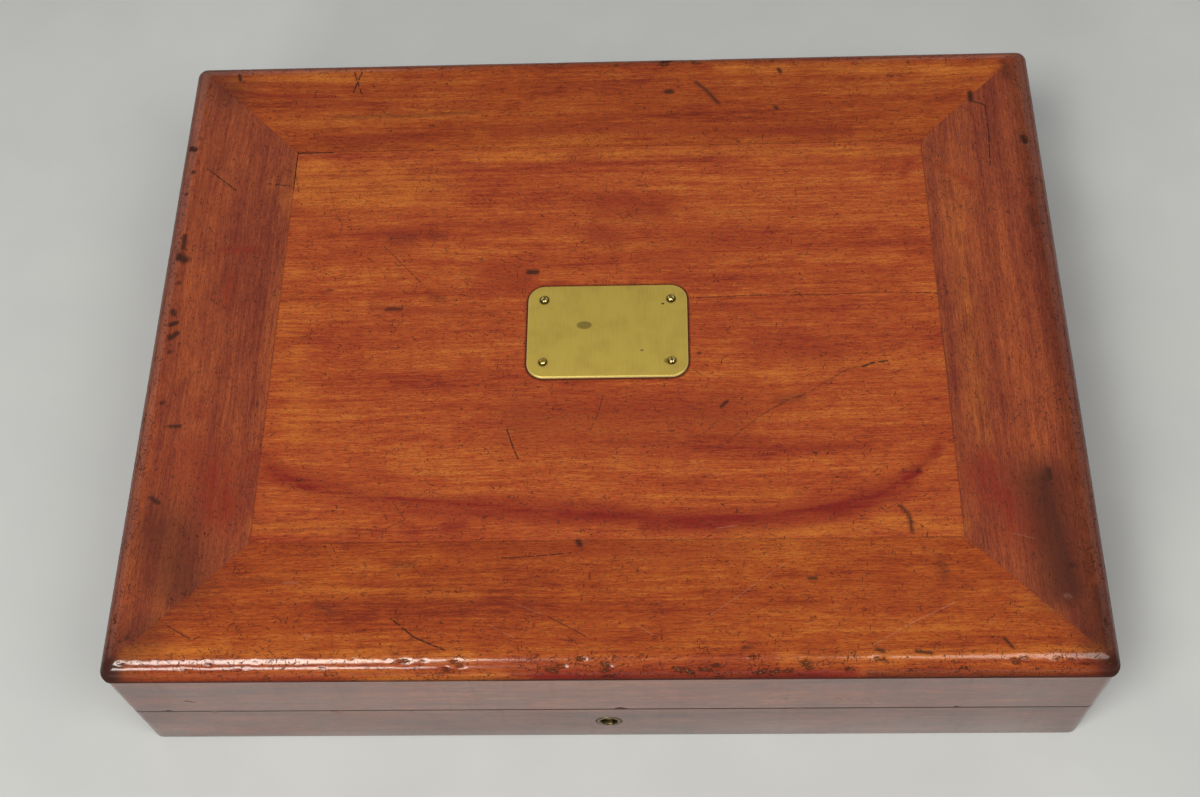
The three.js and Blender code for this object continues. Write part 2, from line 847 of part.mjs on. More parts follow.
function buildHinges(base, lid) {
  for (const [hand, side] of [["left", -1], ["right", 1]]) {
    const axis = { x: side * hingeOffset, y: caseDepth / 2, z: splitHeight };
    const seat = { y: axis.y - hingeScrewInset, turn: Math.PI / 2 };
    put(base, `${hand}_hinge_base_leaf`, hingeLeaf(-1), brass, axis);
    put(lid, `${hand}_hinge_lid_leaf`, hingeLeaf(1), brass, axis);
    put(base, `${hand}_hinge_pin`, hingePin(), steel, axis);
    hingeScrewPlaces().forEach((place, i) => {
      const x = axis.x + place;
      const baseSeat = { ...seat, x, z: baseHeight };
      const lidSeat = { ...seat, x, z: lidRim, tip: Math.PI };
      put(base, `${hand}_hinge_base_screw_${i + 1}`, countersunkScrew(), brass, baseSeat);
      put(lid, `${hand}_hinge_lid_screw_${i + 1}`, countersunkScrew(), brass, lidSeat);
    });
  }
}

function buildLock(base, lid) {
  put(base, "lock_case", lockCase(), brass);
  put(base, "lock_cap", lockCap(), brass);
  put(base, "lock_bolt", bolt(), steel);
  put(base, "bolt_spring", boltSpring(), steel);
  put(base, "key_pin", keyPin(), brass);
  put(base, "key_nozzle", keyNozzle(), brass);
  put(lid, "link_plate", linkPlate(), brass);
  about(0, selvedgeScrewSpan).forEach((x, i) => {
    const seat = { x, y: lockMiddle };
    put(base, `lock_screw_${i + 1}`, countersunkScrew(), brass, { ...seat, z: baseHeight });
    put(lid, `link_screw_${i + 1}`, countersunkScrew(), brass, { ...seat, z: lidRim, tip: Math.PI });
  });
}

const chest = new THREE.Group();
chest.position.y = (topOverhang - stopReach) / 2;

const base = new THREE.Group();
chest.add(base);

// The lid's group turns about the hinges' axis: lid.rotation.x goes from 0 to -lidOpening
const lid = new THREE.Group();
lid.position.set(0, caseDepth / 2, splitHeight);
const lidPieces = new THREE.Group();
lidPieces.position.copy(lid.position).negate();
lid.add(lidPieces);
chest.add(lid);

buildBase(base);
buildLid(lidPieces);
buildHinges(base, lidPieces);
buildLock(base, lidPieces);

export default chest;
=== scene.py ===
# %% [markdown]
# # A mahogany chest for table silver
# The real chest is a shallow box that was glued up in one piece and then sawn round, so its base and its
# lid share their sides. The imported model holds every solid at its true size. Here each visible solid gets
# the finish of an old French-polished chest, and the ones that need softer edges or real dents are made
# again round the same sizes. Measures are in millimetres, apart from the lamps and the floor. The border
# is the width of the lid's frame, and the saw cut is a height.

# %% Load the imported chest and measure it
import math

import bmesh
import bpy
import numpy as np
from mathutils import Matrix, Vector


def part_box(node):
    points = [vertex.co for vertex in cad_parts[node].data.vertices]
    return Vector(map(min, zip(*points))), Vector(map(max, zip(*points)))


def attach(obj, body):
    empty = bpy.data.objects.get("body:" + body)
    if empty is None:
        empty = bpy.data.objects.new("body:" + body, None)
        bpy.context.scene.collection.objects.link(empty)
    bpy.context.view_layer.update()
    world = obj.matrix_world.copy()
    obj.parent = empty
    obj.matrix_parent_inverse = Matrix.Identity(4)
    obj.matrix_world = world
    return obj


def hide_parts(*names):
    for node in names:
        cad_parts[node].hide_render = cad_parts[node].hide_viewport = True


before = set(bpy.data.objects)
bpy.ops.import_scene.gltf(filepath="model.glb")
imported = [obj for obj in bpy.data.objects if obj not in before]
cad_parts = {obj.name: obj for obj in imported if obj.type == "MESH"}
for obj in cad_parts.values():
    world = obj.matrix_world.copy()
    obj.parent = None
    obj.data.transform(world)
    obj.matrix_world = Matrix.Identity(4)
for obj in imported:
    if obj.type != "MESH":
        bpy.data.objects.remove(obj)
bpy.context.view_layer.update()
MM = 0.001


def box_mm(node):
    """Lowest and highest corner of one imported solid, in millimetres."""
    low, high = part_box(node)
    return Vector(low) / MM, Vector(high) / MM


left_edge = box_mm("top_frame_left")[0].x
right_edge = box_mm("top_frame_right")[1].x
front_edge = box_mm("top_frame_front")[0].y
back_edge = box_mm("top_frame_back")[1].y
top_underside = box_mm("top_frame_front")[0].z
top_height = box_mm("top_frame_front")[1].z
top_width = right_edge - left_edge
top_depth = back_edge - front_edge
chest_middle = Vector((0, (front_edge + back_edge) / 2, 0))
border = 63.5
saw_cut = 41.5
plate_corner = 8.5


def middle_of(node):
    """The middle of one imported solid, in millimetres round the chest's middle."""
    low, high = box_mm(node)
    return (low + high) / 2 - chest_middle


print("lid top", round(top_width, 1), "by", round(top_depth, 1), "mm, up to", round(top_height, 1), "mm")

# %% [markdown]
# ## Camera
# The photograph was taken from above and in front, with the camera a little to the right and rolled by
# two degrees. Its lens and place were found from the lid's corners, so the render lines up with the
# photograph.

# %% Camera at the photograph's place
camera_lens = bpy.data.cameras.new("photo_camera")
camera_lens.lens = 47.669
camera_lens.sensor_width = 36
camera = bpy.data.objects.new("photo_camera", camera_lens)
camera.location = Vector((28.499, -410.973, 767.204)) * MM
camera.rotation_euler = [math.radians(angle) for angle in (28.8918, 2.386, 0.4475)]
bpy.context.scene.collection.objects.link(camera)
bpy.context.scene.camera = camera
print("camera", [round(c, 3) for c in camera.location], "m, lens", camera_lens.lens, "mm")

# %% [markdown]
# ## Shader maths
# Every finish is a network of nodes. Written as formulas, a network is much easier to read, so a small
# class wraps one socket and turns Python's signs into Math nodes. Any other node comes from one method.


# %% A wire that can be used in formulas, and a finish that makes nodes
class Wire:
    """The output of a node. Sums, products and powers of wires add their own Math nodes."""

    def __init__(self, finish, socket):
        self.finish = finish
        self.socket = socket

    def maths(self, operation, first, second):
        return self.finish.node("Math", {"operation": operation}, {0: first, 1: second})

    def __add__(self, other):
        return self.maths("ADD", self, other)

    def __sub__(self, other):
        return self.maths("SUBTRACT", self, other)

    def __rsub__(self, other):
        return self.maths("SUBTRACT", other, self)

    def __mul__(self, other):
        return self.maths("MULTIPLY", self, other)

    def __truediv__(self, other):
        return self.maths("DIVIDE", self, other)

    def __pow__(self, other):
        return self.maths("POWER", self, other)

    def __abs__(self):
        return self.maths("ABSOLUTE", self, 0.0)

    def above(self, other):
        return self.maths("MAXIMUM", self, other)

    def below(self, other):
        return self.maths("MINIMUM", self, other)

    __radd__ = __add__
    __rmul__ = __mul__


class Finish:
    """A material in the making."""

    def __init__(self, name):
        self.material = bpy.data.materials.new(name)
        self.material.use_nodes = True
        self.tree = self.material.node_tree
        self.tree.nodes.clear()

    def node(self, kind, settings=None, inputs=None, output=0):
        """Adds any node: first its settings, then the values or wires of its sockets."""
        made = self.tree.nodes.new("ShaderNode" + kind)
        for name, value in (settings or {}).items():
            if name == "stops":
                ramp = made.color_ramp
                while len(ramp.elements) < len(value):
                    ramp.elements.new(1)
                for element, (place, colour) in zip(ramp.elements, value):
                    element.position = place
                    element.color = colour
            else:
                setattr(made, name, value)
        for name, value in (inputs or {}).items():
            if isinstance(value, Wire):
                self.tree.links.new(value.socket, made.inputs[name])
            else:
                made.inputs[name].default_value = value
        return Wire(self, made.outputs[output] if made.outputs else None)

    def place(self):
        """Object coordinates in millimetres, with the chest's middle as zero, as three wires."""
        metres = self.node("TexCoord", output="Object")
        scale = (1 / MM, 1 / MM, 1 / MM)
        moved = self.node("Mapping", {"vector_type": "POINT"}, {0: metres, 1: -chest_middle, 3: scale})
        return [self.node("SeparateXYZ", inputs={0: moved}, output=axis) for axis in range(3)]

    def combine(self, x, y, z):
        return self.node("CombineXYZ", inputs={0: x, 1: y, 2: z})

    def cloud(self, x, y, z, detail=2.0, roughness=0.5):
        """Smooth noise, about 0.5 in the middle, at coordinates that are already scaled."""
        where = self.combine(x, y, z)
        inputs = {"Vector": where, "Scale": 1.0, "Detail": detail, "Roughness": roughness}
        return self.node("TexNoise", inputs=inputs)

    def fade(self, value, low, high):
        """0 at low and 1 at high, with a soft step between them."""
        settings = {"interpolation_type": "SMOOTHSTEP"}
        return self.node("MapRange", settings, {"Value": value, "From Min": low, "From Max": high})

    def blend(self, share, first, second):
        """From the first colour to the second."""
        settings = {"data_type": "RGBA"}
        return self.node("Mix", settings, {0: share, 6: first, 7: second}, output=2)

    def attribute(self, name):
        return self.node("Attribute", {"attribute_name": name}, output="Fac")

    def bump(self, height, distance):
        return self.node("Bump", inputs={"Height": height, "Distance": distance, "Strength": 1.0})

    def close(self, **sockets):
        """Ends the finish in one Principled shader."""
        names = {name.replace("_", " "): value for name, value in sockets.items()}
        shader = self.node("BsdfPrincipled", inputs=names)
        self.node("OutputMaterial", inputs={"Surface": shader})
        print(self.material.name, "has", len(self.tree.nodes), "nodes")
        return self.material


def paint(red, green, blue):
    """A colour as a screen shows it, 0 to 255, turned into the linear colour that a shader needs."""
    def linear(level):
        level /= 255
        return level / 12.92 if level <= 0.04045 else ((level + 0.055) / 1.055) ** 2.4

    return (linear(red), linear(green), linear(blue), 1.0)


print("shader helpers ready")

# %% [markdown]
# ## Floor and light
# The chest stands on pale paper under soft studio light. Two softboxes hang above the front, one to the
# left and a weaker one to the right. Their reflections are the bright stripe along the lid's rounded
# front edge. A low strip adds the thin second stripe under it. Two wide and weak fills behind light the
# back and the ends. All five lamps are slightly warm. The paper gets a little greyer away from the chest,
# and the room is dim, so that the polished top doesn't mirror anything pale. The lamps' places and sizes,
# and half the floor's width, are in metres.


# %% Pale floor, softboxes and room
floor_reach = 4
warm_white = (1.0, 0.955, 0.87)


def pale_floor():
    """Paper that is almost white round the chest and greyer further out."""
    finish = Finish("pale_paper")
    x, y, z = finish.place()
    mottle = finish.cloud(x / 60, y / 60, z, detail=4.0)
    colour = finish.blend(finish.fade(mottle, 0.3, 0.7), paint(186, 190, 193), paint(190, 194, 196))
    far = finish.fade((x * x + y * y) ** 0.5, 330.0, 1000.0)
    colour = finish.blend(far, colour, paint(166, 169, 172))
    return finish.close(Base_Color=colour, Roughness=0.9)


floor_shape = bmesh.new()
bmesh.ops.create_grid(floor_shape, x_segments=1, y_segments=1, size=floor_reach)
floor_mesh = bpy.data.meshes.new("floor")
floor_shape.to_mesh(floor_mesh)
floor_mesh.materials.append(pale_floor())
floor = bpy.data.objects.new("floor", floor_mesh)
bpy.context.scene.collection.objects.link(floor)


def softbox(name, place, width, height, watts):
    """An area lamp that faces the middle of the lid, with its width level."""
    lamp = bpy.data.lights.new(name, "AREA")
    lamp.shape = "RECTANGLE"
    lamp.size = width
    lamp.size_y = height
    lamp.energy = watts
    lamp.color = warm_white
    holder = bpy.data.objects.new(name, lamp)
    holder.location = place
    aim = Vector((0, 0, top_height * MM)) - Vector(place)
    holder.rotation_euler = aim.to_track_quat("-Z", "Y").to_euler()
    bpy.context.scene.collection.objects.link(holder)


softbox("left_softbox", (-0.60, -0.80, 1.70), 0.54, 0.66, 21)
softbox("right_softbox", (0.86, -0.75, 1.65), 0.80, 1.00, 15)
softbox("low_strip", (-0.68, -1.70, 1.08), 0.66, 0.34, 12)
softbox("back_left_fill", (-1.40, 1.40, 0.85), 2.60, 1.40, 6)
softbox("back_right_fill", (1.40, 1.40, 0.85), 2.60, 1.40, 6)
room = bpy.data.worlds.new("dim_room")
room.use_nodes = True
room.node_tree.nodes["Background"].inputs["Color"].default_value = paint(104, 104, 106)
room.node_tree.nodes["Background"].inputs["Strength"].default_value = 1.0
bpy.context.scene.world = room
bpy.context.scene.view_settings.view_transform = "Standard"
print("floor, five lamps and a grey room")

# %% [markdown]
# ## Polished mahogany
# Mahogany shows long streaks along the grain, from golden to deep red, with fine dark pores. The colour
# comes from noise that is stretched along the grain and gently bent. Old polish adds a clear coat with a
# soft gloss, which is worn off the foot of the moulding. Marks that have a place, such as stains, dents,
# nicks and scratches, are laid over it: broad ones come from values that are painted on the mesh, and
# fine scratches are drawn here as short straight strokes. Small scuffs lie all over the top, close
# together near its edges.


# %% Scratches and scuffs
def stroke(finish, x, y, start, end, width):
    """1 along a straight scratch and 0 away from it."""
    start, end = Vector(start), Vector(end)
    along = end - start
    share = ((x - start.x) * along.x + (y - start.y) * along.y) / along.length_squared
    share = share.above(0.0).below(1.0)
    off_x = x - start.x - share * along.x
    off_y = y - start.y - share * along.y
    return finish.fade(off_x * off_x + off_y * off_y, width * width * 0.5, 0.0)


def strokes(finish, x, y, paths):
    """The strongest of several scratches, each a width, a strength and its places."""
    strongest = None
    for width, strength, places in paths:
        for start, end in zip(places, places[1:]):
            line = stroke(finish, x, y, start, end, width) * strength
            strongest = line if strongest is None else strongest.above(line)
    return strongest


def scuffs(finish, x, y, z, near):
    """Short scratches in three directions: close together where near is 1, and few where it is 0."""
    found = None
    for tilt, reach in ((0.5, 4.2), (-0.7, 3.3), (1.4, 3.8)):
        along = x * math.cos(tilt) + y * math.sin(tilt)
        off = y * math.cos(tilt) - x * math.sin(tilt)
        dash = finish.cloud(along / reach, off / 0.7, z / 1.5 + tilt, detail=1.0)
        found = dash if found is None else found.above(dash)
    thick = finish.cloud(x / 9, y / 9, z / 9) - 0.5
    return finish.fade(found + near * 0.06 + thick * 0.2, 0.72, 0.76)


print("scratch helpers ready")

# %% The wood finish
golden_wood = (192, 112, 42)
crimson_wood = (122, 33, 23)
stained_wood = (58, 29, 22)
pore_brown = (66, 28, 18)
dent_brown = (46, 32, 28)
bruise_brown = (50, 27, 19)
bare_wood = (142, 104, 78)
pale_scratch = (196, 158, 138)
grime_and_shade = (52, 25, 17)
worn_from = top_height - 4.0
worn_to = top_height - 6.5


def polished_wood(name, along, tones, dark_scratches=(), light_scratches=(), dirt_and_shade=None, upright=False):
    """Mahogany with its grain along "x" or "y". tones run from the darkest streaks to the lightest.
    Scratches lie on the top, or on the front face where the wood is upright."""
    finish = Finish(name)
    x, y, z = finish.place()
    grain, across = (x, y) if along == "x" else (y, x)
    bend = finish.cloud(grain / 150, across / 80, z / 80, detail=1.0) - 0.5
    across = across + bend * 8
    height = z + bend * 5
    bands = finish.cloud(grain / 150, across / 14, height / 14)
    streaks = finish.cloud(grain / 60, across / 2.0, height / 2.0, detail=3.0, roughness=0.65)
    lines = finish.cloud(grain / 7, across / 0.6, height / 0.6, detail=3.0, roughness=0.65)
    pores = finish.fade(finish.cloud(grain / 2.2, across / 0.3, height / 0.3, detail=1.0), 0.56, 0.66)
    mottle = finish.cloud(grain / 16, across / 9, height / 9, detail=3.0)
    tone = (bands - 0.5) * 0.8 + (streaks - 0.5) * 0.8 + (lines - 0.5) * 1.05 + (mottle - 0.5) * 0.45 + 0.5
    stops = [(place, paint(*colour)) for place, colour in zip((0.18, 0.36, 0.5, 0.64, 0.82), tones)]
    colour = finish.node("ValToRGB", {"stops": stops}, {0: tone})
    ragged = (streaks - 0.5) * 3 + (lines - 0.5) + (mottle - 0.5) * 2
    tints = [("golden", 0.7, golden_wood), ("crimson", 1.0, crimson_wood), ("stain", 0.15, stained_wood)]
    for mark, raggedness, shade in tints:
        share = finish.fade(finish.attribute(mark) * (ragged * raggedness + 1), 0.0, 1.0)
        colour = finish.blend(share, colour, paint(*shade))
    colour = finish.blend(pores * 0.52, colour, paint(*pore_brown))
    edge = (abs(x) - top_width / 2).above(abs(y) - top_depth / 2)
    marks = finish.attribute("dent")
    broken = finish.fade(finish.cloud(x / 2.2, y / 2.2, z), 0.28, 0.5)
    if upright:
        marks = marks.above(strokes(finish, x, z, dark_scratches) * broken * finish.fade(y, 0.0, -1.0))
    else:
        marks = marks.above(scuffs(finish, x, y, z, finish.fade(edge, -15.0, -4.0)) * 0.7)
        marks = marks.above(strokes(finish, x, y, dark_scratches) * broken)
    marks = finish.fade(marks, 0.1, 0.85)
    colour = finish.blend(marks * 0.85, colour, paint(*dent_brown))
    splinters = finish.cloud(x / 1.8, y / 0.7, z / 0.7, detail=2.0) - 0.5
    nick = finish.attribute("nick") * (splinters * 2.6 + 0.8)
    colour = finish.blend(finish.fade(nick, 0.25, 0.65) * 0.75, colour, paint(*bruise_brown))
    colour = finish.blend(finish.fade(nick, 0.75, 1.15) * 0.5, colour, paint(*bare_wood))
    marks = marks.above(finish.fade(nick, 0.2, 0.7))
    if light_scratches:
        pale = strokes(finish, x, y, light_scratches) * broken
        colour = finish.blend(pale * 0.14, colour, paint(*pale_scratch))
        marks = marks.above(pale * 0.5)
    # Dirt darkens the wood here towards a dark brown, and for the frame and the walls so does painted
    # shade. These places are also duller.
    darkening = dirt_and_shade(finish, x, y, z, edge, streaks)
    colour = finish.blend(darkening, colour, paint(*grime_and_shade))
    dull = marks.above(darkening * 0.9)
    bloom = finish.cloud(x / 22, y / 22, z / 22, detail=3.0)
    relief = streaks * 0.3 + lines * 0.3 - pores * 0.6 - marks * 1.4 + bloom * 1.0
    coat = (1 - dull) * (1.15 - bloom * 0.4)
    if not upright:
        coat = coat * (1 - finish.fade(z, worn_from, worn_to))
    return finish.close(
        Base_Color=colour,
        Roughness=0.45 + dull * 0.3,
        Specular_IOR_Level=0.6 if upright else 0.05,
        Coat_Weight=coat,
        Coat_Roughness=0.15,
        Normal=finish.bump(relief, 0.06 * MM),
    )


print("wood finish ready")

# %% [markdown]
# ## Where the marks are
# An old chest is read by its marks. The lists give each mark's half width in millimetres, its strength,
# and its places across the lid's top: dark crimson streaks and golden ones in the wood, the large dark
# stain near the right edge, small dents, and scratches.

# %% Crimson and golden streaks
crimson_marks = [
    (1.5, 0.75, [(-152, -78), (-142, -85), (-128, -88), (-105, -90), (-75, -94)]),
    (1.8, 0.8, [(-75, -94), (-52, -95), (-40, -98), (-20, -99)]),
    (2.2, 0.75, [(-22, -99), (-5, -100), (12, -101), (22, -104)]),
    (2.0, 0.95, [(32, -103.5), (75, -102.5), (100, -99), (126, -92.5), (138, -85.5), (147, -80)]),
    (5.5, 0.45, [(-166, -68), (-155, -75), (-148, -80)]),
    (7.0, 0.55, [(-160, -76), (-120, -90), (-85, -95), (-40, -98), (20, -102)]),
    (4.5, 0.5, [(-60, -92), (-20, -95), (8, -98)]),
    (6.5, 0.68, [(20, -105), (75, -105), (112, -99), (140, -86)]),
    (4.0, 0.6, [(140, -82), (153, -73), (157, -68)]),
    (3.0, 0.55, [(84, -68), (108, -66), (124, -65.5)]),
    (4.0, 0.4, [(40, -60), (76, -62)]),
    (2.5, 0.4, [(-118, 15), (-85, 12.5), (-54, 11)]),
    (9.0, 0.5, [(-58, 33), (-42, 30)]),
    (11.0, 0.45, [(0, 75), (28, 73)]),
    (9.0, 0.4, [(-5, 57), (5, 53)]),
    (14.0, 0.3, [(25, 45), (70, 55)]),
    (5.0, 0.4, [(-125, 60), (-90, 60)]),
    (3.0, 0.35, [(-141, 50), (-104, 49)]),
    (9.0, 0.35, [(80, -12), (112, -16)]),
    (3.0, 0.45, [(-151, 122), (-91, 122)]),
    (4.0, 0.45, [(-60, 124), (5, 125), (60, 122), (128, 121)]),
    (1.6, 0.6, [(-210, 157), (-185, 153), (-149, 151)]),
    (4.0, 0.5, [(158, 100), (154, 92)]),
    (4.5, 0.6, [(-73, -106), (-66, -105)]),
    (7.0, 0.3, [(-70, -118), (60, -118)]),
    (3.4, 0.85, [(-40, -178), (110, -178)]),
    (2.6, 0.65, [(110, -178), (226, -178)]),
    (2.4, 0.6, [(-222, -178), (-120, -178)]),
    (18.0, 0.34, [(-40, -50), (60, -48)]),
    (19.0, 0.5, [(-194, -72), (-180, -92)]),
    (7.0, 0.35, [(-171, -70), (-169, -88)]),
    (3.5, 0.4, [(-197, 52), (-180, 51)]),
    (4.5, 0.4, [(-192, 35), (-191, 18)]),
    (5.0, 0.4, [(-200, -40), (-197, -45)]),
    (15.0, 0.5, [(180, -82), (194, -108)]),
    (4.0, 0.4, [(174, 97), (188, 85)]),
]
golden_marks = [
    (20.0, 0.45, [(-155, 92), (-95, 92)]),
    (5.0, 0.4, [(-160, 101), (-118, 104)]),
    (5.0, 0.45, [(-75, 108), (0, 109), (162, 107)]),
    (5.0, 0.4, [(-163, -104), (-112, -107)]),
    (4.0, 0.3, [(10, -93), (92, -91)]),
    (5.0, 0.5, [(128, -105), (163, -108)]),
    (4.0, 0.45, [(60, -110), (120, -109)]),
    (10.0, 0.3, [(-160, 20), (-150, -55)]),
    (5.0, 0.4, [(-205, 164), (-118, 165)]),
    (4.0, 0.5, [(60, 166), (205, 160)]),
    (6.0, 0.28, [(178, 95), (178, -40), (180, -62)]),
    (4.0, 0.5, [(-215, -166), (-60, -169)]),
    (4.0, 0.45, [(80, -171), (222, -168)]),
    (5.0, 0.3, [(-150, -135), (-60, -140)]),
    (2.2, 0.5, [(-112, -177), (-34, -177)]),
    (2.2, 0.35, [(115, -177), (215, -177)]),
]
print("streaks", len(crimson_marks), "crimson and", len(golden_marks), "golden")

# %% Stains
stain_marks = [
    (7.0, 0.74, [(205, -84), (206, -100), (209, -126), (210, -140)]),
    (15.0, 0.7, [(203, -86), (207, -140)]),
    (22.0, 0.55, [(-206, -108), (-196, -132)]),
    (24.0, 0.17, [(-40, -52), (60, -52)]),
    (12.0, 0.5, [(213, -148), (217, -168)]),
    (8.5, 1.0, [(-227, -177), (-223, -173)]),
    (8.0, 0.9, [(227, -177), (224, -174)]),
    (3.0, 0.5, [(118, -178), (226, -178)]),
    (2.4, 0.4, [(-6, -178), (96, -178)]),
    (17.0, 0.5, [(-222, -170), (-208, -156)]),
    (16.0, 0.48, [(-220, 172), (-206, 156)]),
    (3.0, 0.9, [(207, -84), (207, -80)]),
    (3.5, 0.9, [(211, -128)]),
    (5.0, 0.6, [(221, -140), (222, -172)]),
    (1.3, 0.5, [(-148, 137), (-100, 137), (-70, 139)]),
    (1.2, 0.8, [(137, -97.5), (140.5, -102), (141.5, -110.5)]),
    (1.0, 0.45, [(-216, -131), (-185, -130), (-150, -132)]),
    (1.0, 0.3, [(-200, -136), (-165, -135)]),
    (4.5, 0.35, [(-110, 57), (-100, 57)]),
    (3.0, 0.35, [(-90, 58), (-84, 58)]),
    (4.0, 0.35, [(-88, 21), (-82, 20)]),
    (3.5, 0.4, [(84, -41), (95, -39)]),
    (3.0, 0.4, [(-130, -144), (-122, -148)]),
    (3.0, 0.4, [(-96, -125), (-88, -125)]),
    (3.5, 0.4, [(153, -124), (154, -133)]),
    (1.6, 0.6, [(216, 70), (217, 58)]),
    (1.4, 0.75, [(48, 156), (53, 151), (60, 141)]),
    (3.0, 0.5, [(214, 166), (215, 155)]),
]
print("stains", len(stain_marks))

# %% Dents, and the open joint
dent_marks = [
    (1.1, 0.9, [(-203, 168), (-202, 164)]),
    (1.2, 0.5, [(-58, 154), (-57, 153)]),
    (1.0, 0.5, [(-57, 168), (-57, 166)]),
    (1.7, 1.0, [(32, 150), (35, 150)]),
    (1.8, 1.0, [(30, 172), (35, 173)]),
    (1.4, 1.0, [(40, 174), (56, 175)]),
    (1.3, 1.0, [(93, 164), (94, 162)]),
    (1.2, 0.7, [(89, 155)]),
    (1.4, 0.9, [(90, 138), (91, 137)]),
    (1.1, 0.7, [(89, 133)]),
    (1.2, 0.6, [(48, 134)]),
    (1.4, 0.6, [(69, 116), (70, 115)]),
    (1.2, 0.6, [(163, 168), (163, 166)]),
    (1.1, 0.7, [(151, 158), (154, 158)]),
    (1.3, 0.6, [(-95, 130), (-93, 130)]),
    (1.0, 0.6, [(-108, 103)]),
    (0.9, 0.6, [(-94, 88)]),
    (1.3, 0.6, [(-141, 26), (-139, 26)]),
    (1.6, 0.7, [(-110, 14), (-103, 14)]),
    (1.3, 0.7, [(-138, -23)]),
    (1.7, 1.0, [(-39, 35), (-35, 35)]),
    (0.8, 0.7, [(16, 88), (21, 88)]),
    (1.0, 0.6, [(-10, 71)]),
    (1.1, 0.7, [(83, 60)]),
    (1.4, 0.6, [(161, 58)]),
    (1.4, 0.7, [(-56, -101)]),
    (1.6, 0.9, [(-12, -113.8), (-11, -115.5)]),
    (1.2, 0.9, [(46, -14)]),
    (1.2, 0.8, [(56, -44), (59, -41)]),
    (1.7, 0.5, [(55, -65)]),
    (1.0, 0.6, [(31, -57), (33, -57)]),
    (1.3, 0.7, [(140, -79)]),
    (1.6, 0.7, [(147, -79)]),
    (0.9, 0.8, [(-94, -130)]),
    (1.4, 0.6, [(-111, -129)]),
    (1.5, 0.7, [(-110, -139)]),
    (1.0, 0.6, [(-51, -159)]),
    (1.2, 0.5, [(-36, -139)]),
    (1.1, 0.7, [(4, -124)]),
    (1.1, 0.6, [(-31, -133)]),
    (1.3, 0.7, [(146, -119)]),
    (1.0, 0.6, [(151, -119)]),
    (1.2, 0.6, [(168, -118)]),
    (1.4, 0.8, [(93, -133), (96, -133)]),
    (1.0, 0.6, [(60, -124)]),
    (1.3, 0.8, [(121, -167), (124, -168)]),
    (1.1, 0.8, [(138, -168), (145, -169)]),
    (1.2, 0.7, [(62, -166), (66, -165)]),
    (1.0, 0.8, [(177, -162), (181, -167)]),
    (1.0, 0.9, [(-212, -51), (-206, -51)]),
    (1.3, 0.9, [(-215, -89), (-211, -92)]),
    (1.0, 0.6, [(-170, -38), (-170, -40)]),
    (1.2, 0.5, [(-197, -37)]),
    (1.6, 0.8, [(-216, -159)]),
    (1.6, 0.9, [(-217, -38)]),
    (1.5, 0.9, [(-217, -9)]),
    (1.7, 1.0, [(-218, -1), (-215, 2)]),
    (1.6, 1.0, [(-219, 7), (-216, 8)]),
    (1.9, 0.9, [(-219, 15), (-218, 13)]),
    (1.8, 0.8, [(-218, 32)]),
    (2.6, 1.0, [(-220, 48), (-217, 46)]),
    (1.6, 0.9, [(-219, 61), (-219, 53)]),
    (1.5, 0.9, [(-222, 88)]),
    (1.6, 0.9, [(-220, 102)]),
    (1.8, 1.0, [(-224, 119), (-221, 117)]),
    (2.0, 1.0, [(218.5, 115), (219, 112)]),
    (0.9, 0.9, [(182, 72), (182, 70)]),
    (0.8, 0.6, [(186, 29)]),
    (1.7, 1.0, [(194, 145), (194, 140)]),
    (0.8, 0.6, [(183, -110)]),
]
crack_marks = [
    (0.8, 1.0, [(-165.0, 90), (-165.0, 113.5), (-146, 113.5)]),
]
marks_by_name = {"crimson": crimson_marks, "golden": golden_marks, "stain": stain_marks, "dent": dent_marks}
print({name: len(marks) for name, marks in marks_by_name.items()})

# %% [markdown]
# ## The wood of each member
# The panel and the front and back members run left to right, and the side members run front to back and
# are darker. Each gets its own tones and its own scratches. Dirt has gathered in the joints and round the
# plate, and the wood is darker along the outer edges. Shade is painted into the foot of the moulding, along
# the foot of the walls and round the key nozzle.


# %% Dirt in joints and along edges
def panel_dirt(finish, x, y, z, edge, streaks):
    """Dark lines at the panel's own edges, round the brass plate and in the open joint at one corner."""
    low, high = box_mm("name_plate")
    half_x = (high.x - low.x) / 2
    half_y = (high.y - low.y) / 2
    middle = middle_of("name_plate")
    off_x = (abs(x - middle.x) - (half_x - plate_corner)).above(0.0)
    off_y = (abs(y - middle.y) - (half_y - plate_corner)).above(0.0)
    away = (off_x * off_x + off_y * off_y) ** 0.5 - plate_corner
    outline = finish.fade(away, 1.7, 0.4) * 0.85
    joint = finish.fade(edge + border, -0.6, -0.2) * (streaks * 0.8 - 0.15)
    open_joint = [(0.6, 0.5, [(-165, 91), (-165, 113)]), (0.8, 0.9, [(-165, 113), (-147, 113.3)])]
    crack = strokes(finish, x, y, open_joint)
    return outline.above(joint).above(crack)


def frame_dirt_and_shade(finish, x, y, z, edge, streaks):
    """Darker wood near the outline, painted shade in the moulding's foot, and a dark line at the joint with
    the panel.
    """
    right_rim = finish.fade(x - top_width / 2, -19.0, -7.0) * (0.3 + streaks * 0.3)
    left_rim = finish.fade(x + top_width / 2, 9.0, 1.0) * (0.25 + streaks * 0.6)
    rim = right_rim.above(left_rim)
    back_rim = finish.fade(y - top_depth / 2, -9.0, -2.0) * (0.1 + streaks)
    # Painted shade: the foot of the moulding is darkened, as if shaded under the round-over.
    foot = finish.fade(z - top_underside, 4.5, 0.2) * (0.35 + streaks)
    joint = finish.fade(abs(edge + border), 0.5, 0.1) * (streaks * 0.8 - 0.1)
    return rim.above(back_rim).above(foot).above(joint).below(0.95)


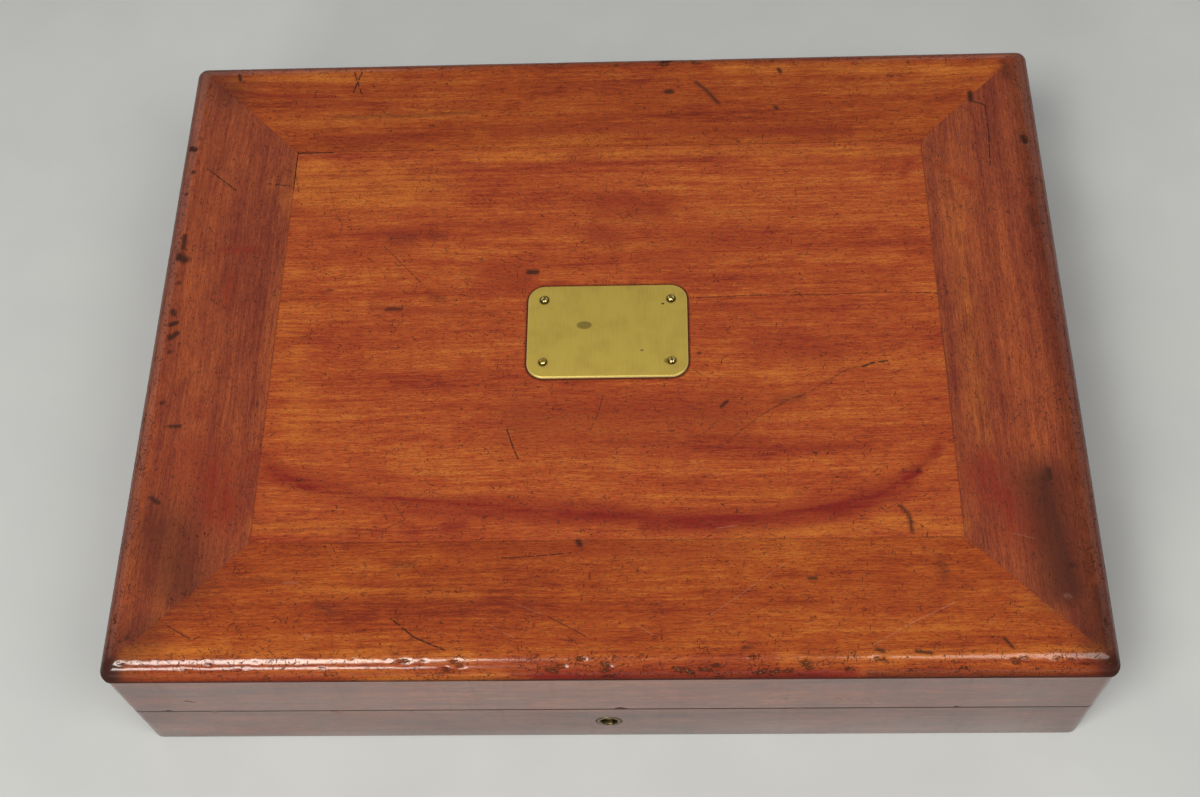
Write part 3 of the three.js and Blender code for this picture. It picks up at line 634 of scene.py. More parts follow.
def side_dirt_and_shade(finish, x, y, z, edge, streaks):
    """A dark line at the outside of the saw cut, darker ends and a darker base, and painted shade along the
    foot and round the key nozzle.
    """
    saw_line = finish.fade(abs(z - saw_cut), 1.1, 0.5) * (0.7 + streaks * 0.6)
    saw_line = saw_line * finish.fade(edge, -2.2, -0.9)
    low, high = box_mm("key_nozzle")
    off_z = z - (low.z + high.z) / 2
    # Painted shade: a dark ring round the key nozzle, as the shade of its seat.
    ring = finish.fade(abs((x * x + off_z * off_z) ** 0.5 - (high.x - low.x) / 2 - 0.2), 0.6, 0.2)
    ring = ring * finish.fade(y, 0.0, -1.0) * 0.9
    # Painted shade: the bottom of the walls is darkened where they stand on the floor.
    foot = finish.fade(z, 2.0, 0.2) * 0.5
    drips = finish.fade(finish.cloud(x / 2.5, y / 2.5, z / 70), 0.55, 0.75) * 0.1
    # The base is a little darker than the lid, and the ends are darker than the middle.
    darker_base = finish.fade(z, 42.0, 36.0) * 0.12
    ends = finish.fade(abs(x), 190.0, 226.0) * 0.2
    return saw_line.above(foot).below(1.0).above(ring).above(drips + darker_base + ends)


print("dirt ready")

# %% The finishes
panel_wood = polished_wood(
    "panel_wood",
    "x",
    [(126, 42, 27), (147, 60, 29), (158, 70, 32), (168, 81, 36), (182, 102, 43)],
    dark_scratches=[
        (1.2, 0.45, [(58, -63), (75, -49), (88, -41), (98, -37), (110, -29), (118, -24), (125, -23)]),
        (1.2, 0.9, [(125, -23), (130, -21), (137, -20)]),
        (0.7, 0.9, [(-47, -55), (-44, -64), (-41, -71)]),
        (0.6, 0.6, [(-1, -37), (-3, -46), (-7, -56)]),
        (0.8, 0.5, [(-100, -92), (-93, -102), (-103, -107), (-103, -112)]),
        (0.6, 0.55, [(-114, 52), (-94, 30)]),
        (0.6, 0.5, [(-146, 91), (-141, 73), (-137, 66), (-138, 60)]),
        (0.6, 0.7, [(45, 18), (80, 19), (110, 18.5), (135, 19.8), (165, 18.6)]),
        (0.6, 0.6, [(-165, 100), (-162, 88)]),
        (0.5, 0.5, [(98, 85), (98, 75)]),
        (0.5, 0.5, [(86.5, -72), (86, -86)]),
    ],
    light_scratches=[(0.7, 1.0, [(52, -108), (62, -106.5)])],
    dirt_and_shade=panel_dirt,
)
long_grain = polished_wood(
    "frame_wood_left_to_right",
    "x",
    [(116, 41, 19), (139, 57, 22), (151, 67, 25), (160, 78, 29), (174, 96, 37)],
    dark_scratches=[
        (0.8, 0.9, [(-96, -151), (-85, -160), (-71, -166)]),
        (0.8, 0.6, [(-25, -150.5), (-8, -160)]),
        (0.7, 0.7, [(-199, -153), (-186, -160.5), (-182.5, -159)]),
        (0.6, 0.8, [(-50, -122), (-35, -121.3), (-15, -119.6)]),
        (0.9, 0.9, [(-139, 168), (-134, 153)]),
        (0.9, 0.9, [(-135, 168), (-138.5, 154)]),
        (0.6, 0.6, [(-127, -113.5), (-123, -121)]),
        (0.5, 0.5, [(-187.5, -140.5), (-179, -154.5)]),
    ],
    light_scratches=[
        (0.6, 0.8, [(48, -150.5), (83, -125.5)]),
        (0.7, 0.9, [(118, -166), (138, -154.5), (157, -145.5)]),
        (0.6, 0.8, [(-50.5, -155), (-40, -160.5)]),
        (0.6, 0.7, [(-40, -144.5), (-27.5, -149.5)]),
        (0.9, 0.9, [(-147, -133), (-141, -133.3)]),
        (0.9, 0.9, [(-135, -158.3), (-132, -159)]),
        (0.6, 0.8, [(15, -155), (22, -159.5)]),
    ],
    dirt_and_shade=frame_dirt_and_shade,
)
short_grain = polished_wood(
    "frame_wood_front_to_back",
    "y",
    [(107, 44, 31), (123, 55, 35), (134, 63, 38), (145, 71, 40), (161, 81, 44)],
    dark_scratches=[
        (0.8, 0.8, [(-212.5, 104), (-195.5, 89.5)]),
        (0.7, 0.7, [(-178.5, 93.5), (-166, 91.5)]),
        (0.8, 0.8, [(196, 152), (194, 139.5), (201, 136.5), (201, 118.5), (199.5, 97)]),
        (0.5, 0.5, [(206, -44), (212, -37), (218.5, -34)]),
    ],
    light_scratches=[
        (0.6, 0.7, [(187, -112), (196, -114.5)]),
        (2.6, 0.7, [(207, -142.5), (208, -143)]),
    ],
    dirt_and_shade=frame_dirt_and_shade,
)
side_tones = [(72, 28, 14), (96, 41, 20), (110, 49, 22), (124, 58, 26), (148, 76, 36)]
front_scratches = [
    (1.6, 0.8, [(-197, 57), (-193, 55)]),
    (0.8, 0.6, [(-191, 24), (-188, 24)]),
    (0.8, 0.5, [(-149, 12), (-147, 12)]),
    (1.0, 0.6, [(22, 58), (26, 58)]),
    (0.7, 0.7, [(82, 55), (84, 55)]),
    (0.7, 0.5, [(95, 48), (97, 48)]),
    (0.6, 0.7, [(105, 55.5), (108, 55.5)]),
    (0.6, 0.7, [(111, 55.3), (113, 55.3)]),
    (0.6, 0.6, [(123, 50), (123, 46)]),
    (0.5, 0.5, [(-24, 32.5), (-11, 36.5)]),
    (1.1, 0.9, [(-212, 42), (-208, 42)]),
    (1.0, 0.9, [(-187, 41), (-185, 41)]),
    (1.1, 1.0, [(-131, 40.6), (-125, 40.6)]),
    (0.9, 0.8, [(-94, 40.5), (-92, 40.5)]),
    (0.8, 0.8, [(-51, 41), (-49, 41)]),
    (1.2, 1.0, [(4, 42.6), (9, 42.4)]),
]
side_long_grain = polished_wood(
    "side_wood_left_to_right", "x", side_tones, dark_scratches=front_scratches, dirt_and_shade=side_dirt_and_shade, upright=True
)
side_short_grain = polished_wood(
    "side_wood_front_to_back", "y", side_tones, dark_scratches=front_scratches, dirt_and_shade=side_dirt_and_shade, upright=True
)

# %% [markdown]
# ## Brass, steel, cloth and plain wood
# The plate is old lacquered brass: dull, brushed up and down, with a tarnished spot and dark rings round
# its screws. The lock and hinges are plainer brass, worn but clean inside the box. Pins, bolt and spring
# are steel. The lining is green baize, a felted wool cloth with a soft nap. The underside is a plain
# board that was never polished.


# %% Metal finishes
tarnish = (58, 46, 24)
rubbed_highlight_brass = (232, 216, 146)


def brass_finish(name, light, dark, metal, rough, rings=None, spots=(), rubbed_highlight=None, grimy=None):
    """Brushed brass. rings gives the places of screws with dark rings, and spots those of tarnish.
    Below the rubbed_highlight height, on a bevel, it is bright: brass rubbed by wear, with a painted
    highlight.
    Below the grimy height, round a screw, it is dark."""
    finish = Finish(name)
    x, y, z = finish.place()
    brushing = finish.cloud(x / 0.5, y / 14, z / 14, detail=3.0)
    patches = finish.cloud(x / 9, y / 9, z / 9, detail=3.0)
    share = finish.fade(patches * 0.6 + brushing * 0.5, 0.45, 0.75)
    colour = finish.blend(share, paint(*light), paint(*dark))
    darkening = None
    if rings:
        middle_x, middle_y, reach_x, reach_y = rings
        off_x = abs(x - middle_x) - reach_x
        off_y = abs(y - middle_y) - reach_y
        away = (off_x * off_x + off_y * off_y) ** 0.5
        darkening = finish.fade(away + patches * 1.6, 3.7, 2.8) * 0.9
    for spot_x, spot_y, reach, strength in spots:
        off_x = (x - spot_x) / reach
        off_y = (y - spot_y) / reach * 1.7
        spot = finish.fade(off_x * off_x + off_y * off_y + patches * 0.6, 1.4, 0.8) * strength
        darkening = spot if darkening is None else darkening.above(spot)
    if darkening:
        colour = finish.blend(darkening, colour, paint(*tarnish))
    # Painted highlight, partly wear: the plate's bevel is brightened as rubbed brass that catches the
    # light.
    if rubbed_highlight:
        share = finish.fade(z, rubbed_highlight, rubbed_highlight - 0.35) * 0.8
        colour = finish.blend(share, colour, paint(*rubbed_highlight_brass))
    if grimy:
        share = finish.fade(z, grimy, grimy - 0.4) * 0.9
        colour = finish.blend(share, colour, paint(*tarnish))
    return finish.close(
        Base_Color=colour,
        Metallic=metal,
        Roughness=rough + brushing * 0.12,
        Normal=finish.bump(brushing * 0.6 + patches * 0.6, 0.02 * MM),
    )


def steel_finish():
    """Grey steel with brown patches."""
    finish = Finish("old_steel")
    x, y, z = finish.place()
    grey = finish.cloud(x / 3, y / 3, z / 3, detail=4.0)
    colour = finish.blend(finish.fade(grey, 0.4, 0.65), paint(150, 148, 144), paint(96, 86, 76))
    return finish.close(
        Base_Color=colour, Metallic=1.0, Roughness=0.3 + grey * 0.3, Normal=finish.bump(grey, 0.02 * MM)
    )


plate_low, plate_high = box_mm("name_plate")
plate_middle = middle_of("name_plate")
screw_low, screw_high = box_mm("plate_screw_4")
screw_reach = middle_of("plate_screw_4") - plate_middle
plate_brass = brass_finish(
    "plate_brass",
    (191, 168, 77),
    (180, 154, 72),
    0.4,
    0.34,
    rings=(plate_middle.x, plate_middle.y, screw_reach.x, screw_reach.y),
    spots=[
        (-10.4, 2.1, 4.2, 0.55),
        (28.6, 14.0, 0.9, 0.9),
        (18.0, -12.8, 1.0, 0.6),
        (-32, 16, 1.2, 0.3),
        (screw_reach.x + 0.4, plate_middle.y - screw_reach.y, 3.6, 0.6),
    ],
    rubbed_highlight=plate_high.z - 0.05,
)
screw_brass = brass_finish(
    "screw_brass", (226, 206, 128), (190, 164, 86), 1.0, 0.22, grimy=screw_high.z - 0.3
)
dull_brass = brass_finish("dull_brass", (128, 112, 74), (70, 60, 42), 1.0, 0.3)
lock_brass = brass_finish("lock_brass", (190, 158, 84), (150, 118, 60), 1.0, 0.3)
old_steel = steel_finish()


# %% Baize and plain wood
def baize_finish():
    """Felted green wool, faded in patches."""
    finish = Finish("green_baize")
    x, y, z = finish.place()
    nap = finish.cloud(x / 0.35, y / 0.35, z / 0.35, detail=4.0, roughness=0.7)
    fading = finish.cloud(x / 45, y / 45, z / 45, detail=3.0)
    shade = nap * 0.7 + fading * 0.6 - 0.15
    colour = finish.node(
        "ValToRGB",
        {"stops": [(0.2, paint(24, 50, 36)), (0.5, paint(38, 72, 52)), (0.8, paint(60, 94, 68))]},
        {0: shade},
    )
    return finish.close(
        Base_Color=colour,
        Roughness=0.95,
        Sheen_Weight=0.35,
        Sheen_Roughness=0.5,
        Normal=finish.bump(nap, 0.25 * MM),
    )


def plain_wood_finish():
    """The unpolished underside: sawn softwood, greyed by handling."""
    finish = Finish("plain_board")
    x, y, z = finish.place()
    bend = finish.cloud(x / 140, y / 50, z / 50) - 0.5
    rings = finish.cloud(x / 200, (y + bend * 30) / 6, z / 6, detail=3.0)
    saw = finish.cloud(x / 1.4, y / 60, z, detail=1.0)
    tone = rings * 1.3 + saw * 0.3 - 0.3
    colour = finish.node(
        "ValToRGB",
        {"stops": [(0.2, paint(96, 66, 40)), (0.5, paint(138, 102, 66)), (0.8, paint(166, 130, 90))]},
        {0: tone},
    )
    return finish.close(Base_Color=colour, Roughness=0.75, Normal=finish.bump(rings + saw, 0.1 * MM))


green_baize = baize_finish()
plain_board = plain_wood_finish()

# %% [markdown]
# ## From a bmesh to a piece
# Every new piece is modelled in millimetres round the chest's middle. Short helpers move, turn, cut,
# round and turn on a lathe. One more scales a finished shape, gives it its finish, marks its sharp edges,
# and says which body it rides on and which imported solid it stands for. Marks are painted as values of the
# mesh's points, and the deep ones move those points inwards.


# %% Move, cut, round and turn a shape
def move(shape, way):
    bmesh.ops.translate(shape, vec=way, verts=shape.verts)


def turn(shape, degrees, axis="Z"):
    bmesh.ops.rotate(shape, verts=shape.verts, matrix=Matrix.Rotation(math.radians(degrees), 3, axis))


def cut(shape, place, across, clear_outer=False):
    """Cuts all of a shape by the plane through a place. Only clear_outer takes one side away."""
    bmesh.ops.bisect_plane(
        shape,
        geom=shape.verts[:] + shape.edges[:] + shape.faces[:],
        dist=1e-5,
        plane_co=place,
        plane_no=across,
        clear_outer=clear_outer,
    )


def round_off(shape, geom, width, segments, kind="EDGES", clamp_overlap=False):
    bmesh.ops.bevel(
        shape,
        geom=geom,
        offset=width,
        segments=segments,
        profile=0.5,
        affect=kind,
        clamp_overlap=clamp_overlap,
        material=-1,
    )


def lathe(places, axis, steps, closed=False):
    """Spins an outline of places once round an axis through the middle, and merges the points that meet."""
    shape = bmesh.new()
    points = [shape.verts.new(place) for place in places]
    after = points[1:] + points[:1] if closed else points[1:]
    outline = [shape.edges.new(pair) for pair in zip(points, after)]
    bmesh.ops.spin(
        shape,
        geom=points + outline,
        cent=(0, 0, 0),
        axis=axis,
        dvec=(0, 0, 0),
        angle=math.tau,
        steps=steps,
        use_merge=True,
        use_duplicate=False,
    )
    bmesh.ops.remove_doubles(shape, verts=shape.verts, dist=1e-4)
    return shape


print("shape helpers ready")


# %% Place a piece
def make_piece(shape, node, body, finish, sharp=32):
    """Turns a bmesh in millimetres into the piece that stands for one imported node."""
    to_metres = Matrix.Scale(MM, 4) @ Matrix.Translation(chest_middle)
    bmesh.ops.transform(shape, matrix=to_metres, verts=shape.verts)
    for face in shape.faces:
        face.smooth = True
    for edge in shape.edges:
        edge.smooth = edge.calc_face_angle(0) < math.radians(sharp)
    mesh = bpy.data.meshes.new(node + "_finish")
    shape.to_mesh(mesh)
    shape.free()
    mesh.materials.append(finish)
    piece = bpy.data.objects.new(node + "_finish", mesh)
    bpy.context.scene.collection.objects.link(piece)
    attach(piece, body)
    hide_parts(node)
    return piece


print("pieces can be placed")


# %% Paint marks on a piece, and press them in
def places_of(piece):
    """The piece's points in millimetres round the chest's middle."""
    points = np.empty(len(piece.data.vertices) * 3)
    piece.data.vertices.foreach_get("co", points)
    return points.reshape(-1, 3) / MM - np.array(chest_middle)


def closeness(points, path, reach):
    """1 on a path and 0 well away from it. Works on plan places and on places in space."""
    nearest = np.full(len(points), np.inf)
    for start, end in zip(path, path[1:] or path):
        start, along = np.array(start, float), np.subtract(end, start).astype(float)
        share = np.clip((points - start) @ along / max(along @ along, 1e-9), 0, 1)
        nearest = np.minimum(nearest, np.linalg.norm(points - start - share[:, None] * along, axis=1))
    return np.exp(-((nearest / reach) ** 2))


def strongest_mark(points, marks):
    level = np.zeros(len(points))
    for reach, strength, path in marks:
        level = np.maximum(level, strength * closeness(points, path, reach))
    return level


def press(piece, depth):
    """Pushes each point of the piece inwards by its depth in millimetres."""
    normals = np.empty(len(depth) * 3)
    piece.data.vertex_normals.foreach_get("vector", normals)
    points = places_of(piece) - normals.reshape(-1, 3) * depth[:, None]
    piece.data.vertices.foreach_set("co", ((points + np.array(chest_middle)) * MM).ravel())
    piece.data.update()


def wear(piece, nicks=()):
    """Paints the marks on a piece of the top, and presses its dents, cracks and nicks into the mesh."""
    points = places_of(piece)
    plan = points[:, :2]
    levels = {name: strongest_mark(plan, marks) for name, marks in marks_by_name.items()}
    crack = strongest_mark(plan, crack_marks)
    on_top = points[:, 2] > top_underside + 1.0
    nicked = np.zeros(len(points))
    pressed = levels["dent"] * 0.15 + crack * 0.3
    for reach, depth, path in nicks:
        near = closeness(points, path, reach)
        pressed = np.maximum(pressed, near * depth * 0.35)
        nicked = np.maximum(nicked, near * min(1.0, depth * 1.7))
    levels["nick"] = nicked
    press(piece, np.where(on_top, pressed, 0.0))
    for name, level in levels.items():
        layer = piece.data.attributes.new(name, "FLOAT", "POINT")
        layer.data.foreach_set("value", level)


print("mark helpers ready")

# %% [markdown]
# ## The mitred frame of the top
# Each member is one long moulding, with a groove inside and a quarter round outside, cut at 45 degrees at
# both ends. A joiner runs the moulding first and mitres it afterwards, and so does the script: it sweeps
# the section along X, cuts off both ends, closes the cuts, and turns the member to its side. The corners
# are rounded in plan, and softer towards the top, where hands have worn them. The sweep has many rings,
# so that real nicks can be pressed in.

# %% Section, sweep, mitre and corner
turns = {"front": 0, "right": 90, "back": 180, "left": 270}
round_over = 9.5
corner_radius = 5.0
worn_radius = 1.5
glue_line = 0.1
hairline = 0.03
arris = 0.3
groove_depth = 6.0
groove_low = 87.4
groove_high = 91.6
flat_steps = 34
round_steps = 18
ring_spacing = 1.1


def moulding_section(across):
    """The member's outline in (y, z): from its inside over the top and the round-over, and back below."""
    outside = -across / 2
    inside = outside + border
    spring = outside + round_over
    section = [(y, top_height) for y in np.linspace(inside, spring, flat_steps)]
    for step in range(1, round_steps + 1):
        tilt = math.radians(90 * step / round_steps)
        rise = round_over * math.cos(tilt)
        section.append((spring - round_over * math.sin(tilt), top_height - round_over + rise))
    section += [(outside, top_underside + arris), (outside + arris, top_underside), (inside, top_underside)]
    section += [(inside, groove_low), (inside - groove_depth, groove_low)]
    section += [(inside - groove_depth, groove_high), (inside, groove_high)]
    return section


def sweep(section, length, rings):
    """Sweeps a closed (y, z) outline along X. The ends stay open."""
    shape = bmesh.new()
    ring = [shape.verts.new((-length / 2, y, z)) for y, z in section]
    start = [shape.edges.new(pair) for pair in zip(ring, ring[1:] + ring[:1])]
    bmesh.ops.spin(
        shape,
        geom=ring + start,
        cent=(0, 0, 0),
        axis=(1, 0, 0),
        dvec=(length / rings, 0, 0),
        angle=0,
        steps=rings,
        use_duplicate=False,
    )
    return shape


def cut_mitres(shape, length, across):
    """Cuts both ends at 45 degrees, a hairline short of the corner, and closes the cuts."""
    for hand in (-1, 1):
        corner = Vector((hand * (length / 2 - hairline), -across / 2, 0))
        cut(shape, corner, (hand, 1, 0), clear_outer=True)
    bmesh.ops.holes_fill(shape, edges=[edge for edge in shape.edges if edge.is_boundary])
    bmesh.ops.recalc_face_normals(shape, faces=shape.faces)


def round_corners(shape, length, across):
    """Moves the points outside the rounded corner onto its arc. Higher up, the arc is smaller."""
    for point in shape.verts:
        drop = max(0.0, point.co.z - (top_height - round_over))
        inset = round_over - math.sqrt(max(0.0, round_over**2 - drop**2))
        radius = corner_radius - (corner_radius - worn_radius) * min(1.0, inset / round_over)
        middle = Vector((length / 2 - inset - radius, across / 2 - inset - radius))
        off = Vector((abs(point.co.x), abs(point.co.y))) - middle
        if off.x > 0 and off.y > 0 and off.length > radius:
            place = middle + off.normalized() * radius
            point.co.x = math.copysign(place.x, point.co.x)
            point.co.y = math.copysign(place.y, point.co.y)


print("moulding tools ready")

# %% [markdown]
# ## Nicks along the rounded edge
# The rounded edge has taken the knocks. Nicks that can be recognised are listed one by one, as the place
# along the side, the tilt round the moulding, the reach and the depth. The rest are scattered, with a
# fixed seed. A nick is pressed into the mesh, and its painted value gives it a dark outline and bare wood
# in the middle.

# %% Nicks that can be recognised
named_nicks = {
    "front": [
        (1, 34, 2.2, 0.9), (1, 52, 2.2, 0.9), (2, 72, 2.0, 0.7), (-10, 18, 2.0, 0.6),
        (-23, 50, 2.6, 0.8), (-19, 38, 2.0, 0.7), (17, 8, 1.3, 0.4), (33, 50, 2.5, 0.8),
        (38, 56, 2.6, 0.8), (45, 50, 2.4, 0.8), (50, 38, 1.9, 0.7), (52, 78, 1.6, 0.5),
        (66, 16, 1.7, 0.5), (70, 60, 2.5, 0.7), (76, 61, 2.6, 0.7), (82, 57, 2.0, 0.6),
        (90, 32, 2.2, 0.7), (91, 46, 1.8, 0.6), (109, 52, 1.8, 0.6), (122, 24, 2.0, 0.6),
        (125, 32, 1.5, 0.5), (135, 58, 1.3, 0.5), (159, 50, 1.6, 0.5), (181, 32, 2.2, 0.6),
        (185, 22, 1.7, 0.5), (199, 24, 1.7, 0.6), (212, 40, 1.4, 0.5), (223, 38, 2.2, 0.6),
        (-64, 34, 1.6, 0.6), (-66, 24, 1.8, 0.6), (-70, 46, 1.8, 0.6), (-80, 20, 1.1, 0.4),
        (-89, 22, 2.0, 0.7), (-97, 16, 1.2, 0.4), (-112, 15, 1.2, 0.4), (-126, 40, 1.3, 0.4),
        (-137, 22, 1.3, 0.4), (-156, 20, 1.2, 0.4), (-164, 44, 1.4, 0.4), (-177, 26, 1.4, 0.5),
        (-189, 40, 1.3, 0.4), (-217, 24, 1.6, 0.5),
    ],
    "back": [
        (5, 12, 1.6, 0.5), (31, 12, 2.4, 0.8), (48, 14, 2.2, 0.6), (-57, 10, 1.0, 0.3),
        (150, 20, 1.6, 0.4),
    ],
    "left": [
        (48, 10, 2.0, 0.7), (0, 2, 1.5, 0.5), (118, 30, 1.4, 0.5), (60, 12, 1.3, 0.4),
        (-150, 25, 2.0, 0.5),
    ],
    "right": [
        (113, 4, 2.2, 0.8), (60, 20, 1.5, 0.4), (-30, 30, 1.2, 0.4), (-155, 25, 2.0, 0.5),
        (30, 45, 1.4, 0.4),
    ],
}
print("named nicks", {side: len(entries) for side, entries in named_nicks.items()})

# %% All nicks of a side, and the four members
scatter = np.random.default_rng(11)


def nicks_of(side, length, across, count):
    """Named and scattered nicks of one side as (reach, depth, path), in the chest's own directions.
    A nick is a little longer than it is high, and slanted."""
    named = named_nicks[side]
    ahead = 1 if side in ("front", "right") else -1
    known = [(ahead * along, tilt, reach, depth) for along, tilt, reach, depth in named]
    for _ in range(count):
        along = scatter.uniform(-length / 2 + 4, length / 2 - 4)
        known.append((along, scatter.uniform(2, 85), scatter.uniform(0.5, 1.3), scatter.uniform(0.1, 0.35)))
    to_side = Matrix.Rotation(math.radians(turns[side]), 3, "Z")
    nicks = []
    for along, tilt, reach, depth in known:
        tilt = math.radians(tilt)
        out = -across / 2 + round_over * (1 - math.sin(tilt))
        up = top_height - round_over * (1 - math.cos(tilt))
        middle = Vector((along, out, up))
        slant = scatter.uniform(-0.6, 0.6)
        half = Vector((math.cos(slant), 0, math.sin(slant))) * reach * 0.7
        ends = [tuple(to_side @ (middle - half)), tuple(to_side @ (middle + half))]
        nicks.append((reach * 0.75, depth, ends))
    return nicks


for side in turns:
    lengthwise = side in ("front", "back")
    length, across = (top_width, top_depth) if lengthwise else (top_depth, top_width)
    member = sweep(moulding_section(across), length, round(length / ring_spacing))
    cut_mitres(member, length, across)
    round_corners(member, length, across)
    turn(member, turns[side])
    wood = long_grain if lengthwise else short_grain
    piece = make_piece(member, f"top_frame_{side}", "lid", wood, sharp=50)
    wear(piece, nicks_of(side, length, across, 70 if side == "front" else 40))
    print(piece.name, len(piece.data.polygons), "faces")

# %% [markdown]
# ## The centre panel
# The panel lies flush in the frame, held by a tongue in the groove. Its top is a fine grid, so that dents
# and the open joint at one corner are real hollows. The edge of the grid is then extruded down, out and
# back to make the tongue, and closed below. The tongue is a glue line thinner than its groove all round,
# and members and panel stop a hairline short of each other.

# %% Panel with its tongue
panel_width = top_width - 2 * border - 2 * hairline
panel_depth = top_depth - 2 * border - 2 * hairline
tongue_reach = groove_depth - 2 * glue_line
panel = bmesh.new()
bmesh.ops.create_grid(panel, x_segments=290, y_segments=200, size=0.5)
bmesh.ops.scale(panel, vec=(panel_width, panel_depth, 1), verts=panel.verts)
move(panel, (0, 0, top_height))
rim = [edge for edge in panel.edges if edge.is_boundary]
steps = [
    (groove_high - glue_line, 0),
    (groove_high - glue_line, tongue_reach),
    (groove_low + glue_line, tongue_reach),
    (groove_low + glue_line, 0),
    (top_underside, 0),
]
for level, reach in steps:
    grown = bmesh.ops.extrude_edge_only(panel, edges=rim)["geom"]
    rim = [edge for edge in grown if isinstance(edge, bmesh.types.BMEdge) and edge.is_boundary]
    for point in {point for edge in rim for point in edge.verts}:
        wide = abs(point.co.x) > panel_width / 2 - 0.01
        deep = abs(point.co.y) > panel_depth / 2 - 0.01
        point.co.z = level
        if wide:
            point.co.x = math.copysign(panel_width / 2 + reach, point.co.x)
        if deep:
            point.co.y = math.copysign(panel_depth / 2 + reach, point.co.y)
bmesh.ops.holes_fill(panel, edges=rim)
bmesh.ops.recalc_face_normals(panel, faces=panel.faces)
top_panel = make_piece(panel, "top_panel", "lid", panel_wood)
wear(top_panel)
print("panel", round(panel_width, 1), "by", round(panel_depth, 1), "mm")

# %% [markdown]
# ## The brass plate and its screws
# The plate is a rounded rectangle with a bevel round its upper edge: one face, its corners rounded by a
# vertex bevel, extruded, and bevelled again. Four round-head screws hold it. A screw is turned: half its
# outline is spun round the axis, and the slot is pressed into the dense head between two cuts. The plate
# is left blank.

# %% Plate
plate_size = plate_high - plate_low
plate = bmesh.new()
bmesh.ops.create_grid(plate, x_segments=1, y_segments=1, size=0.5)
bmesh.ops.scale(plate, vec=(plate_size.x, plate_size.y, 1), verts=plate.verts)
round_off(plate, plate.verts[:], plate_corner, 10, kind="VERTICES")
extruded = bmesh.ops.extrude_face_region(plate, geom=plate.faces[:])["geom"]
raised = [point for point in extruded if isinstance(point, bmesh.types.BMVert)]
bmesh.ops.translate(plate, vec=(0, 0, plate_size.z), verts=raised)
bmesh.ops.recalc_face_normals(plate, faces=plate.faces)
upper_edges = [edge for edge in plate.edges if all(point.co.z > plate_size.z / 2 for point in edge.verts)]
round_off(plate, upper_edges, 0.8, 4)
move(plate, (plate_middle.x, plate_middle.y, plate_low.z))
make_piece(plate, "name_plate", "lid", plate_brass)
print("plate", [round(side, 1) for side in plate_size], "mm")


# %% Screws
def turned_screw(profile, slot_floor, slot_width=0.6):
    """Turns (radius, height) points into a screw and presses a slot into its head."""
    shape = lathe([(radius, 0, height) for radius, height in profile], (0, 0, 1), 28)
    half_slot = slot_width / 2
    for place in (-half_slot - 0.03, -half_slot, half_slot, half_slot + 0.03):
        cut(shape, (0, place, 0), (0, 1, 0))
    for point in shape.verts:
        if abs(point.co.y) < half_slot + 0.01 and point.co.z > slot_floor:
            point.co.z = slot_floor
    bmesh.ops.recalc_face_normals(shape, faces=shape.faces)
    return shape


def dome(radius, height, rings):
    """A quarter of an ellipse, from the rim of a round head to its top."""
    tilts = [math.radians(90 * step / rings) for step in range(rings + 1)]
    return [(radius * math.cos(tilt), height * math.sin(tilt)) for tilt in tilts[:-1]] + [(0, height)]


head_radius = 2.1
head_height = 1.5
shank_radius = 1.2
shank_end = head_height - (screw_high.z - screw_low.z)
shank = [(0, shank_end), (shank_radius, shank_end + 2.5), (shank_radius, 0)]
round_head = shank + dome(head_radius, head_height, 9)
for number, angle in enumerate((20, 95, 65, 130), start=1):
    node = f"plate_screw_{number}"
    middle = middle_of(node)
    seat = box_mm(node)[1].z - head_height
    screw = turned_screw(round_head, head_height - 0.55, slot_width=0.5)
    turn(screw, angle)
    move(screw, (middle.x, middle.y, seat))
    make_piece(screw, node, "lid", screw_brass)
print("plate screws 4")

# %% [markdown]
# ## The sides of the base and the lid
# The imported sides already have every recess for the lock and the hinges, so each is copied and its loose
# triangles are merged into clean faces. Then the outer arrises are softened: a little at the saw cut,
# more along the foot. Chips at the saw cut are pressed in where the mesh has been cut finer: each has its
# reach, its depth and its place along the front.


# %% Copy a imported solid, soften its outer edges, and slice it
def copy_of(node):
    """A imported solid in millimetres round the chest's middle, with clean flat faces."""
    shape = bmesh.new()
    shape.from_mesh(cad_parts[node].data)
    back = Matrix.Translation(-chest_middle) @ Matrix.Scale(1 / MM, 4)
    bmesh.ops.transform(shape, matrix=back, verts=shape.verts)
    bmesh.ops.remove_doubles(shape, verts=shape.verts, dist=0.002)
    bmesh.ops.dissolve_limit(
        shape,
        angle_limit=math.radians(0.4),
        verts=shape.verts,
        edges=shape.edges,
        use_dissolve_boundaries=False,
    )
    return shape


case_width = box_mm("base_right")[1].x * 2
case_depth = box_mm("base_back")[1].y - box_mm("base_front")[0].y


def outside_by(point):
    """How far a point is outside the case's rounded outline, in plan."""
    off_x = abs(point.co.x) - (case_width / 2 - corner_radius)
    off_y = abs(point.co.y) - (case_depth / 2 - corner_radius)
    return math.hypot(max(off_x, 0), max(off_y, 0)) + min(max(off_x, off_y), 0) - corner_radius


def soften(shape, height, width, segments):
    """Rounds the outer arris at one height."""
    edges = [
        edge
        for edge in shape.edges
        if all(abs(point.co.z - height) < 0.01 and abs(outside_by(point)) < 0.02 for point in edge.verts)
    ]
    round_off(shape, edges, width, segments)


def slice_across(shape, axis, places):
    """Adds cuts at places along one axis, and takes nothing away."""
    for place in places:
        cut(shape, [place * (axis == k) for k in range(3)], [float(axis == k) for k in range(3)])


print("wall tools ready")

